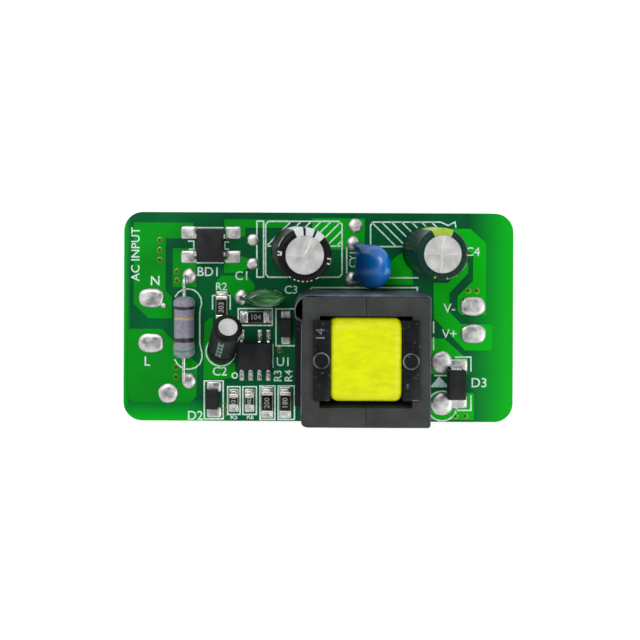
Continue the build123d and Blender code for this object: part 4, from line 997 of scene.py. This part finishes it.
def packages():
    """The moulded parts: bodies, a pin mark on the controller and their flat leads."""
    for name, package in PACKAGES.items():
        body = package_body(package)
        piece(f"{name}_case", [body], PACKAGE_EPOXY, [f"{name}_body"], 25)
    x, y = PACKAGES["bridge"]["centre"]
    half = PACKAGES["bridge"]["size"][0] / 2
    leads = [
        bent_strip(x, y + row * BRIDGE_PITCH, heading, half, **BRIDGE_STRIP)
        for heading in (0, pi) for row in (-0.5, 0.5)
    ]
    piece("bridge_lead_strips", leads, TINNED, ["bridge_leads"])
    x, y = PACKAGES["controller"]["centre"]
    half = PACKAGES["controller"]["size"][1] / 2
    pins = [
        bent_strip(place, y, side * pi / 2, half, **CONTROLLER_STRIP)
        for side, column, place in controller_columns()
    ]
    piece("controller_pin_strips", pins, TINNED, ["controller_pins"])
    top = PAD_TOP + PACKAGES["controller"]["height"]
    dot = [(0, -0.1), (0.3, -0.1), (0.3, 0.004), (0.26, 0.012), (0.22, 0.0), (0.18, -0.03), (0, -0.03)]
    piece("controller_pin_mark", [turned(dot, (x - 1.55, y - 1.1, top))], PACKAGE_EPOXY)
    x, y = PACKAGES["rectifier"]["centre"]
    half = PACKAGES["rectifier"]["size"][1] / 2
    tabs = [bent_strip(x, y, side * pi / 2, half, **RECTIFIER_STRIP) for side in (-1, 1)]
    piece("rectifier_tabs", tabs, TINNED, ["rectifier_leads"])
    for name in ("snubber_diode", "bias_diode"):
        x, y = PACKAGES[name]["centre"]
        half = PACKAGES[name]["size"][1] / 2
        reaches = (half - DIODE_TAB_IN_BODY, half, half + DIODE_TAB_REACH)
        tabs = []
        for side in (-1, 1):
            route = [(x, y + side * reach, PAD_TOP + STRIP / 2) for reach in reaches]
            tabs.append(carried(route, flat_section(STRIP, DIODE_TAB_WIDTH), (1, 0, 0)))
        piece(f"{name}_tab_pair", tabs, TINNED, [f"{name}_tabs"])


def chip_end(chip, side, beyond, length, width):
    """Middle and size of a patch at one end of a chip, that far beyond it and length long its way."""
    x, y = chip["centre"]
    reach = side * (chip["length"] / 2 + beyond)
    return ((x, y + reach), (width, length)) if chip["along"] == "Y" else ((x + reach, y), (length, width))


def chips():
    """Chip resistors: pale ceramic block, black glazed top, plated caps and a plain value on top."""
    caps, marks = [], []
    for name, chip in CHIPS.items():
        x, y = chip["centre"]
        long_way = (0, 1) if chip["along"] == "Y" else (1, 0)
        half = np.array(long_way) * chip["length"] / 2
        side = np.array(long_way[::-1]) * chip["width"] / 2
        mid, top = np.array([x, y]), PAD_TOP + CHIP_RISE
        inner = half - np.array(long_way) * CHIP_CAP
        low, high = mid - inner - side, mid + inner + side
        block = soft_block((*low, PAD_TOP + 0.04), (*high, top - 0.06), 0.03)
        piece(f"{name}_ceramic", [block], CHIP_BODY, [name])
        glaze = soft_block((*(low + side * 0.05), top - 0.07), (*(high - side * 0.05), top), 0.04)
        piece(f"{name}_glaze", [glaze], CHIP_GLAZE)
        for sign in (-1, 1):
            far, near = mid + sign * half, mid + sign * inner
            low = np.minimum(far, near) - side
            high = np.maximum(far, near) + side
            caps.append(soft_block((*low, PAD_TOP), (*high, top), 0.09, 0.12))
        turn = pi / 2 if chip["along"] == "Y" else 0
        size = 0.76 if chip["width"] > 1.5 else 0.6
        marks.append(word(chip["mark"], (x, y), size, turn, top - 0.01, top + 0.012))
    piece("chip_end_caps", caps, PLATING, ["chip_caps"])
    piece("chip_values", marks, CHIP_MARK)


def word(letters, place, size, turn=0.0, low=BOARD_TOP, high=INK_TOP, bold=0.012):
    """Letters as a flat mesh between two heights, size high, centred on place and turned."""
    curve = bpy.data.curves.new("letters", "FONT")
    curve.body = letters
    curve.size = size * 1.38
    curve.align_x, curve.align_y = "CENTER", "CENTER"
    curve.resolution_u = 3
    curve.offset = bold
    curve.extrude = (high - low) / 2
    holder = bpy.data.objects.new("letters", curve)
    mesh = bpy.data.meshes.new_from_object(holder)
    flat = np.empty(len(mesh.vertices) * 3)
    mesh.vertices.foreach_get("co", flat)
    flat = flat.reshape(-1, 3)
    x = flat[:, 0] * cos(turn) - flat[:, 1] * sin(turn) + place[0]
    y = flat[:, 0] * sin(turn) + flat[:, 1] * cos(turn) + place[1]
    points = np.column_stack([x, y, flat[:, 2] + (low + high) / 2])
    corners = np.empty(len(mesh.loops), dtype=np.int32)
    mesh.loops.foreach_get("vertex_index", corners)
    starts = np.empty(len(mesh.polygons), dtype=np.int32)
    mesh.polygons.foreach_get("loop_start", starts)
    bpy.data.objects.remove(holder)
    bpy.data.meshes.remove(mesh)
    bpy.data.curves.remove(curve)
    return points, np.empty((0, 4), int), np.split(corners, starts[1:]), np.zeros((len(points), 2))


def from_photo(points):
    """Board places of photograph pixels: centred, turned back and scaled."""
    points = np.asarray(points, float) - PHOTO_MIDDLE
    turn = radians(PHOTO_TURN)
    x = points[:, 0] * cos(turn) + points[:, 1] * sin(turn)
    y = -points[:, 0] * sin(turn) + points[:, 1] * cos(turn)
    return np.column_stack([x, -y]) / PHOTO_SCALE


def ink_line(route, width=LEGEND_WIDTH, closed=False):
    """A printed line: a flat section carried along a route of board places, mitred at its corners."""
    route = np.asarray(route, float)
    if closed:
        ahead, behind = np.roll(route, -1, 0) - route, route - np.roll(route, 1, 0)
    else:
        steps = np.diff(route, axis=0)
        ahead, behind = np.vstack([steps, steps[-1:]]), np.vstack([steps[:1], steps])
    ahead = ahead / np.linalg.norm(ahead, axis=1)[:, None]
    behind = behind / np.linalg.norm(behind, axis=1)[:, None]
    left = np.column_stack([-behind[:, 1], behind[:, 0]])
    mitre = left + np.column_stack([-ahead[:, 1], ahead[:, 0]])
    mitre /= np.linalg.norm(mitre, axis=1)[:, None]
    reach = (width / 2 / np.clip(np.sum(mitre * left, 1), 0.4, 1))[:, None] * mitre
    corners = [(1, INK_LOW), (1, INK_TOP), (-1, INK_TOP), (-1, INK_LOW), (1, INK_LOW)]
    rings = np.stack(
        [np.column_stack([route + side * reach, np.full(len(route), z)]) for side, z in corners], 1
    )
    if closed:
        rings = np.concatenate([rings, rings[:1]])
    else:
        ends = [np.broadcast_to(rings[i, :4].mean(0), rings[:1].shape) for i in (0, -1)]
        rings = np.concatenate([ends[0], rings, ends[1]])
    return net(rings)


def legend():
    """The white print: part outlines, hatched boxes, polarity marks and plain designators."""
    lines = [ink_line(from_photo(route)) for route in LEGEND_LINES]
    lines += [ink_line(from_photo(route), closed=True) for route in LEGEND_LOOPS]
    for (x, y), radius in LEGEND_CIRCLES:
        turn = np.linspace(0, 2 * pi, 48, endpoint=False)
        route = np.column_stack([x + radius * np.cos(turn), y + radius * np.sin(turn)])
        lines.append(ink_line(from_photo(route), closed=True))
    for left, right, low, high, pitch, slope in LEGEND_HATCHES:
        for start in np.arange(left, right, pitch):
            end = start + abs(high - low)
            run = np.array([(start, high if slope > 0 else low), (end, low if slope > 0 else high)])
            over = max(0.0, (end - right) / abs(high - low))
            run[1] = run[1] - (run[1] - run[0]) * over
            lines.append(ink_line(from_photo(run)))
    piece("legend_lines", lines, INK)
    words = [
        word(letters, from_photo([middle])[0], size, radians(turn), INK_LOW, INK_TOP)
        for letters, middle, size, turn in LEGEND_WORDS
    ]
    triangle = slab(from_photo(LEGEND_TRIANGLE), [(INK_LOW, 0), (INK_TOP, 0)])
    piece("legend_words", words + [triangle], INK)


def surface_pads():
    """Middle and size of every pad of the parts that lie on the board."""
    pads = [
        chip_end(chip, side, CHIP_PAD_BEYOND, CHIP_PAD, chip["width"] + CHIP_PAD_MARGIN)
        for chip in CHIPS.values() for side in (-1, 1)
    ]
    for side in (-1, 1):
        x = PACKAGES["bridge"]["centre"][0] + side * BRIDGE_PAD_OUT
        pads += [((x, y), BRIDGE_PAD) for y in BRIDGE_PAD_ROWS]
        pads += [((x, y + side * out), size) for (x, y), out, size in DIODE_PADS]
    y = PACKAGES["controller"]["centre"][1]
    for side, column, x in controller_columns():
        pads.append(((x, y + side * CONTROLLER_PAD_OUT), CONTROLLER_PAD))
    return pads


def solder():
    """Every joint: pillows on the pads, drops on the pins, domes over leads and holes, the oval lands.

    Below the board the leads stand in hollow cones.
    """
    upper = [
        mound(place, SOLDER_FOOT, size, PAD_RISE, 1.7 * i, square=7.0, wobble=0.015, full=0.3)
        for i, (place, size) in enumerate(surface_pads())
    ]
    for i, chip in enumerate(CHIPS.values()):
        for side in (-1, 1):
            place, size = chip_end(chip, side, CHIP_FILLET_BEYOND, CHIP_FILLET, chip["width"])
            upper.append(mound(place, PAD_TOP, size, CHIP_FILLET_RISE, 2.1 * i + side, square=3.5))
    for i, (x, y) in enumerate(RESISTOR_FEET):
        place = (x + RESISTOR_PAD_SHIFT, y)
        upper.append(mound(place, SOLDER_FOOT, RESISTOR_PAD, FILLET_RISE, 2.3 * i, full=0.9, rows=12))
    for i, place in enumerate(DISC_FEET + FILM_FEET):
        upper.append(mound(place, SOLDER_FOOT, FOOT_PAD, FILLET_RISE, 2.3 * i, full=0.8, rows=12))
    for i, (place, diameter) in enumerate(FILLED_HOLES):
        upper.append(mound(place, SOLDER_FOOT, (diameter, diameter), DOME_RISE, 1.3 * i, wobble=0.04))
    upper.append(mound(from_photo([STRAY_DROP])[0], SOLDER_FOOT, STRAY_DROP_SIZE, STRAY_DROP_RISE))
    y = PACKAGES["controller"]["centre"][1]
    for side, column, x in controller_columns():
        for out in PIN_DROPS_OUT:
            place, phase = (x, y + side * out), 0.9 * column + side
            upper.append(mound(place, PAD_TOP + 0.15, PIN_DROP, PIN_DROP_RISE, phase, full=0.8))
    piece("upper_joints", upper, SOLDER, ["upper_solder"])
    lands = []
    oval = dict(square=2.6, steps=48, full=0.35)
    for i, place in enumerate(WIRE_LANDS):
        lands.append(mound(place, SOLDER_FOOT, LAND_SIZE, LAND_RISE, 1.9 * i, wobble=0.03, **oval))
        lands.append(mound(place, UNDER_FOOT, LAND_SIZE, -LAND_RISE, 1.1 * i, **oval))
    piece("land_solder", lands, SOLDER, ["wire_lands"])
    cone = dict(tip=UNDER_JOINT_TIP, rows=12, steps=24)
    lower = [
        mound(place, UNDER_FOOT, UNDER_JOINT, -UNDER_JOINT_FALL, 1.3 * i, **cone)
        for i, place in enumerate(lead_feet())
    ]
    for i, (place, diameter) in enumerate(FILLED_HOLES):
        lower.append(mound(place, UNDER_FOOT, (diameter, diameter), -DOME_RISE, 0.9 * i, wobble=0.08))
    piece("lower_joints", lower, SOLDER, ["lower_solder"])


def lead_feet():
    """Where every wire and pin goes through the board."""
    feet = RESISTOR_FEET + DISC_FEET + FILM_FEET
    for can in CANS.values():
        feet = feet + [tuple(knee[:2]) for way_out, knee in can_lead_ways(can)]
    for side in (-1, 1):
        x = CORE_CENTRE[0] + side * (CORE_LENGTH / 2 + PIN_ROW_OUT)
        feet = feet + [(x, CORE_CENTRE[1] + (row - 1.5) * PIN_PITCH) for row in range(4)]
    return feet


def board_trim():
    """Gold rings round the vias, on both faces of the board."""
    rings = [ring(place, BOARD_TOP - 0.05, PAD_TOP + 0.02, *VIA_RING) for place in VIAS]
    rings += [ring(place, UNDERSIDE - 0.02, UNDERSIDE + 0.05, *VIA_RING) for place in VIAS]
    piece("via_rings", rings, GOLD_RING)


def resistor():
    """A coated rod with pressed end caps, its leads bent down into the board.

    A cap's end is r = 0.28 + (R - 0.28) sin(a)^0.8, h = L/2 - 0.85 (1 - cos a)^0.9, and the cap eases
    to the waist by 3s^2 - 2s^3.
    """
    end, cap, waist = RESISTOR_LENGTH / 2, RESISTOR_DIAMETER / 2, RESISTOR_WAIST / 2
    t = np.linspace(0, pi / 2, 9)
    dome = [(0.28 + (cap - 0.28) * sin(a) ** 0.8, end - 0.85 * (1 - cos(a)) ** 0.9) for a in t]
    neck = [(cap - (cap - waist) * s * s * (3 - 2 * s), end - 1.5 - 0.7 * s) for s in np.linspace(0, 1, 6)]
    half = [(0, end)] + dome + [(cap, end - 1.3)] + neck
    profile = half + [(r, -h) for r, h in reversed(half)]
    piece(
        "resistor_rod", [turned(profile, RESISTOR_MIDDLE, (0, 1, 0), (1, 0, 0), 64, 0.006)],
        RESISTOR_COAT, ["resistor_body"],
    )
    wires = []
    for side, (x, y) in zip((1, -1), RESISTOR_FEET):
        inside = (RESISTOR_MIDDLE[0], RESISTOR_MIDDLE[1] + side * (end - 0.3), RESISTOR_MIDDLE[2])
        corner = (RESISTOR_MIDDLE[0] - 0.05, y, RESISTOR_MIDDLE[2] - 0.1)
        route = eased([inside, corner, (x - 0.1, y, PAD_TOP), (x, y, LEAD_END)], 0.8, 9)
        wires.append(carried(route, round_section(LEAD / 2), (1, 0, 0)))
    piece("resistor_wires", wires, TINNED, ["resistor_leads"])


def melted(coat):
    """Runs a dipped coat and its necks into one skin: a voxel remesh, then smoothing."""
    skin = coat.modifiers.new("one_skin", "REMESH")
    skin.mode = "VOXEL"
    skin.voxel_size = DIP_GRAIN * MM
    skin.use_smooth_shade = True
    ease = coat.modifiers.new("surface_tension", "SMOOTH")
    ease.factor = 0.5
    ease.iterations = 22


def neck(start, end, radius, side, taper):
    """A round neck of coat from start to end, its radius falling in a line to 1 - taper of itself."""
    share = np.linspace(0, 1, 13)
    route = start + (end - start) * share[:, None]
    return carried(route, round_section(radius, 24), side, 1 - taper * share)


def disc_capacitor():
    """A leaning disc |x/R|^q + |y/R|^q = 1 with q 2 above and DISC_SQUARE below, necks down its leads.

    Its section is radius R cos(t)^0.62 and height T sin(t)^1.15, T being half its thickness.
    """
    lean = radians(DISC_LEAN)
    up, out = np.array([sin(lean), 0, cos(lean)]), np.array([cos(lean), 0, -sin(lean)])
    centre = np.array(DISC_CENTRE)
    t = np.linspace(-pi / 2, pi / 2, 33)
    share = np.cos(t)[:, None, None] ** 0.62
    height = DISC_HALF_THICKNESS * np.sign(np.sin(t)) * np.abs(np.sin(t)) ** 1.15
    angle = np.linspace(0, 2 * pi, 97)
    power = np.where(np.cos(angle) < 0, DISC_SQUARE, 2.0)
    reach = DISC_RADIUS * (np.abs(np.cos(angle)) ** power + np.abs(np.sin(angle)) ** power) ** (-1 / power)
    flat = (reach * np.cos(angle))[:, None] * up + (reach * np.sin(angle))[:, None] * np.array([0, 1.0, 0])
    shells = [net(centre + share * flat + height[:, None, None] * out)]
    wires = []
    for (x, y), (aside, down) in zip(DISC_FEET, DISC_NECKS):
        inside = centre + (0, aside, 0) - up * down
        knee = np.array([x, y, PAD_TOP + DISC_KNEE])
        shells.append(neck(inside, inside + (knee - inside) * 0.9, DISC_NECK_RADIUS, (0, 0, 1), 0.62))
        route = eased([inside, knee, (x, y, LEAD_END)], 0.5)
        wires.append(carried(route, round_section(LEAD / 2), (0, 1, 0.05)))
    melted(piece("disc_coat", shells, BLUE_DIP, ["disc_capacitor_body"], 80))
    piece("disc_wires", wires, TINNED, ["disc_capacitor_leads"])


def film_capacitor():
    """A dipped block, rounded over, of two arcs seen from above: |y| = sqrt(R^2 - x^2) - (R - w/2)."""
    lean, turn = radians(FILM_LEAN), radians(FILM_HEADING)
    axis = np.array([sin(lean) * cos(turn), sin(lean) * sin(turn), cos(lean)])
    across, square, axis = axes_for(axis, (1, 0, 0))
    foot = np.array([*FILM_CENTRE, PAD_TOP + FILM_LIFT])
    x = FILM_HALF_LENGTH * np.sin(np.linspace(-pi / 2, pi / 2, 21))
    bow = np.sqrt(FILM_SIDE_RADIUS**2 - x**2) - FILM_SIDE_RADIUS + FILM_WIDTH / 2
    bow = np.clip(bow, 0, None) * np.sqrt(np.clip(1 - (x / FILM_HALF_LENGTH) ** 6, 0, 1))
    outline = np.vstack([np.column_stack([x, -bow])[:-1], np.column_stack([x, bow])[:0:-1]])
    t = np.linspace(0, pi / 2, 8)
    low = [(0.55 * (1 - cos(a)), 0.72 + 0.28 * sin(a)) for a in t]
    high = [(FILM_HEIGHT - 0.95 * (1 - sin(a)), 0.5 + 0.5 * cos(a) ** 0.75) for a in t]
    rings = np.stack([
        foot + outline[:, :1] * s * across + outline[:, 1:] * s * square + h * axis for h, s in low + high
    ])
    rings = np.concatenate([rings, rings[:, :1]], 1)
    bottom = np.broadcast_to(foot, rings[:1].shape)
    top = np.broadcast_to(foot + axis * FILM_HEIGHT, rings[:1].shape)
    dome = (rings[-1:] + foot + axis * FILM_HEIGHT) / 2
    wires, shells = [], [net(np.concatenate([bottom, rings, dome, top]))]
    for side, feet in zip((-1, 1), FILM_FEET):
        way_out = foot + across * side * FILM_LEAD_REACH + axis * 0.3
        route = [way_out + (0, 0, 1.1), way_out, (*feet, PAD_TOP + FILM_KNEE), (*feet, LEAD_END)]
        wires.append(carried(eased(route, 0.2), round_section(LEAD / 2), (0, 1, 0.03)))
        inside = way_out + axis * 1.2 - across * side * 0.5
        end = np.array([*feet, PAD_TOP + FILM_KNEE + 0.1])
        shells.append(neck(inside, end, FILM_NECK_RADIUS, (0, 1, 0), 0.55))
    melted(piece("film_coat", shells, GREEN_DIP, ["film_capacitor_body"], 80))
    piece("film_wires", wires, TINNED, ["film_capacitor_leads"])


def core_half(side):
    """One ferrite half: a C of back and two legs with eased edges, and the flat middle leg."""
    x, y = CORE_CENTRE
    back, window = x + side * CORE_LENGTH / 2, x + side * (CORE_LENGTH / 2 - CORE_BACK)
    low, high = y - CORE_WIDTH / 2, y + CORE_WIDTH / 2
    seam = x + side * CORE_SEAM
    corners = [
        (back, low), (seam, low), (seam, low + CORE_LEG), (window, low + CORE_LEG),
        (window, high - CORE_LEG), (seam, high - CORE_LEG), (seam, high), (back, high),
    ]
    front_corner = CORE_WORN_CORNER if side < 0 else CORE_CORNER
    ease = np.array([front_corner, 0.08, 0.08, 0.2, 0.2, 0.08, 0.14, 0.35])
    if side > 0:
        corners, ease = corners[::-1], ease[::-1]
    outline = rounded_shape(corners, ease, 6)
    levels = [
        (CORE_LOW, 0.06), (CORE_LOW + 0.02, 0.02), (CORE_LOW + 0.08, 0), (CORE_HIGH - 0.08, 0),
        (CORE_HIGH - 0.02, 0.02), (CORE_HIGH, 0.06),
    ]
    middle = (CORE_LOW + CORE_HIGH) / 2
    reach = sorted((seam, window))
    post = soft_block(
        (reach[0], y - CORE_POST_WIDTH / 2, middle - CORE_POST_HEIGHT / 2),
        (reach[1], y + CORE_POST_WIDTH / 2, middle + CORE_POST_HEIGHT / 2), 0.08,
    )
    return [slab(outline, levels), post]


def transformer():
    """Core halves, copper turns under yellow tape with quarter-oval ends, the bobbin and the core tape."""
    x, y = CORE_CENTRE
    for name, side in (("core_half_left", -1), ("core_half_right", 1)):
        piece(f"{name}_ferrite", core_half(side), FERRITE, [name], 30)
    middle = (CORE_LOW + CORE_HIGH) / 2
    outline = bar_outline(COIL_WIDTH, COIL_HEIGHT, COIL_CORNER, steps=9)
    plane = ((x, COIL_CENTRE_Y, middle), (0, 1, 0), (0, 0, 1), (1, 0, 0))
    half = COIL_LENGTH / 2
    t = np.linspace(0, pi / 2, 9)
    low = [(-half + COIL_END * (1 - cos(a)), COIL_END_DROP * (1 - sin(a))) for a in t]
    levels = low + [(-h, d) for h, d in reversed(low)]
    turns = [(h * 0.98, d + TAPE_WALL) for h, d in levels]
    piece("winding_turns", [slab(outline, turns, plane)], SHADED_COPPER_WIRE, ["winding"], 30)
    piece("winding_wrap", [slab(outline, levels, plane)], YELLOW_TAPE, ["winding_tape"], 30)
    bobbin(x, y, middle)
    core_tape(x, y)


def bobbin(x, y, middle):
    """Cheeks, ledges, rails and tube as eased blocks, and worn rings, a number and a bar on the ledges."""
    top = CORE_HIGH + LEDGE_THICKNESS
    front, behind = COIL_CENTRE_Y - CHEEK_WIDTH / 2, COIL_CENTRE_Y + CHEEK_WIDTH / 2
    blocks = []
    for side in (-1, 1):
        inner = x + side * COIL_LENGTH / 2
        near, far = sorted((inner, inner + side * CHEEK))
        blocks.append(soft_block((near, front, RAIL_LOW), (far, behind, top - 0.05), 0.06))
        near, far = sorted((inner, inner + side * LEDGE_WIDTH))
        blocks.append(soft_block((near, front, CORE_HIGH + 0.01), (far, behind, top), 0.12, 0.2))
        near, far = sorted((inner, x + side * (CORE_LENGTH / 2 + RAIL_OVERHANG)))
        rail = [(near, y - RAIL_WIDTH / 2, RAIL_LOW), (far, y + RAIL_WIDTH / 2, CORE_LOW - 0.01)]
        blocks.append(soft_block(*rail, 0.15, 0.25))
    reach = np.array([COIL_LENGTH / 2, CORE_POST_WIDTH / 2 + TUBE_WALL, CORE_POST_HEIGHT / 2 + TUBE_WALL])
    blocks.append(soft_block(np.array([x, y, middle]) - reach, np.array([x, y, middle]) + reach, 0.1))
    piece("bobbin_moulding", blocks, BOBBIN_PLASTIC, ["bobbin"], 30)
    profile = [
        (0.92, -0.05), (0.92, 0.03), (0.98, 0.07), (1.04, 0.07), (1.1, 0.03), (1.1, -0.05), (0.92, -0.05),
    ]
    marks = [turned(profile, (*place, top), steps=48) for place in BOBBIN_MARKS]
    marks.append(word("14", BOBBIN_NUMBER, 1.25, pi / 2, top - 0.05, top + 0.03, 0.0))
    marks.append(soft_block((*BOBBIN_BAR[0], top - 0.05), (*BOBBIN_BAR[1], top + 0.04), 0.03))
    piece("bobbin_marks", marks, WORN_PLASTIC, (), 30)


def core_tape(x, y):
    """One turn of tape round the core, its corners eased, with a loose round bulge at one of them."""
    turn = np.radians(np.linspace(205, 78, 24))
    bulge = np.column_stack([np.cos(turn), np.sin(turn)]) * (TAPE_BULGE_RADIUS - TAPE_GAP) + TAPE_BULGE
    left, right = x - CORE_LENGTH / 2 - TAPE_GAP, x + CORE_LENGTH / 2 + TAPE_GAP
    front, back = y - CORE_WIDTH / 2 - TAPE_GAP, y + CORE_WIDTH / 2 + TAPE_GAP
    way = [(1.1, back), (right, back), (right, front), (left, front), (left, 0.6)]
    corners = rounded_outline(way, np.array([0.02, 0.4, 0.4, 0.9, 0.02]), 6)
    each = len(corners) // len(way)
    route = np.vstack([bulge, way[:1], corners[each:-each], way[-1:]])
    height = np.full(len(route), (CORE_LOW + CORE_HIGH - TAPE_MARGIN) / 2)
    route = np.column_stack([route, height])
    section = flat_section(TAPE_THICKNESS, CORE_HIGH - CORE_LOW - TAPE_MARGIN)
    wrap = carried(np.vstack([route, route[:1]]), section, (0, 0, 1))
    piece("core_wrap", [wrap], CORE_TAPE, ["core_tape"], 50)


# Build
for name, can in CANS.items():
    can_capacitor(name, can)
board_trim()
packages()
chips()
resistor()
disc_capacitor()
film_capacitor()
transformer()
solder()
legend()
dressed("circuit_board", MASK)
dressed("transformer_pins", TINNED)


def studio():
    """A pale floor under soft light that is weakest straight overhead, where the camera hangs."""
    floor = bpy.data.meshes.new("floor")
    corners = np.array([(-1, -1, 0), (1, -1, 0), (1, 1, 0), (-1, 1, 0)]) * FLOOR_HALF
    floor.from_pydata(corners.tolist(), [], [(0, 1, 2, 3)])
    glow = dict(Emission_Color=(1, 1, 1, 1), Emission_Strength=0.3)
    floor.materials.append(finish("floor_white", 0.9, colour=(0.96, 0.96, 0.96), **glow))
    ground = bpy.data.objects.new("floor", floor)
    bpy.context.scene.collection.objects.link(ground)
    world = bpy.data.worlds.new("studio")
    world.use_nodes = True
    heading = node(world, "ShaderNodeTexCoord").outputs["Generated"]
    way = node(world, "ShaderNodeSeparateXYZ", {"Vector": heading})
    light = ramp(world, way.outputs["Z"], *WORLD_DARK_FROM, WORLD_STRENGTH, WORLD_OVERHEAD)
    sky = world.node_tree.nodes["Background"]
    sky.inputs["Color"].default_value = (1, 1, 1, 1)
    world.node_tree.links.new(light, sky.inputs["Strength"])
    bpy.context.scene.world = world
    for name, place, size, power in LAMPS:
        lamp = bpy.data.lights.new(name, "AREA")
        lamp.size = size
        lamp.energy = power
        spot = bpy.data.objects.new(name, lamp)
        spot.location = place
        spot.rotation_mode = "QUATERNION"
        spot.rotation_quaternion = (-Vector(place)).to_track_quat("-Z", "Y")
        bpy.context.scene.collection.objects.link(spot)


def photograph_camera():
    """Straight down at NADIR; the lens shift brings the board to where the photograph has it."""
    lens = bpy.data.cameras.new("camera")
    lens.sensor_width = SENSOR
    lens.lens = SENSOR * CAMERA_RISE / (PICTURE / PHOTO_SCALE)
    lens.shift_x = (PICTURE / 2 - NADIR[0]) / PICTURE
    lens.shift_y = (NADIR[1] - PICTURE / 2) / PICTURE
    lens.clip_start = 0.01
    camera = bpy.data.objects.new("camera", lens)
    x = (NADIR[0] - PHOTO_MIDDLE[0]) / PHOTO_SCALE
    y = (PHOTO_MIDDLE[1] - NADIR[1]) / PHOTO_SCALE
    camera.location = (x * MM, y * MM, (BOARD_TOP + CAMERA_RISE) * MM)
    camera.rotation_euler = (0, 0, radians(PHOTO_TURN))
    bpy.context.scene.collection.objects.link(camera)
    bpy.context.scene.camera = camera


studio()
photograph_camera()
bpy.context.scene.view_settings.view_transform = "Standard"
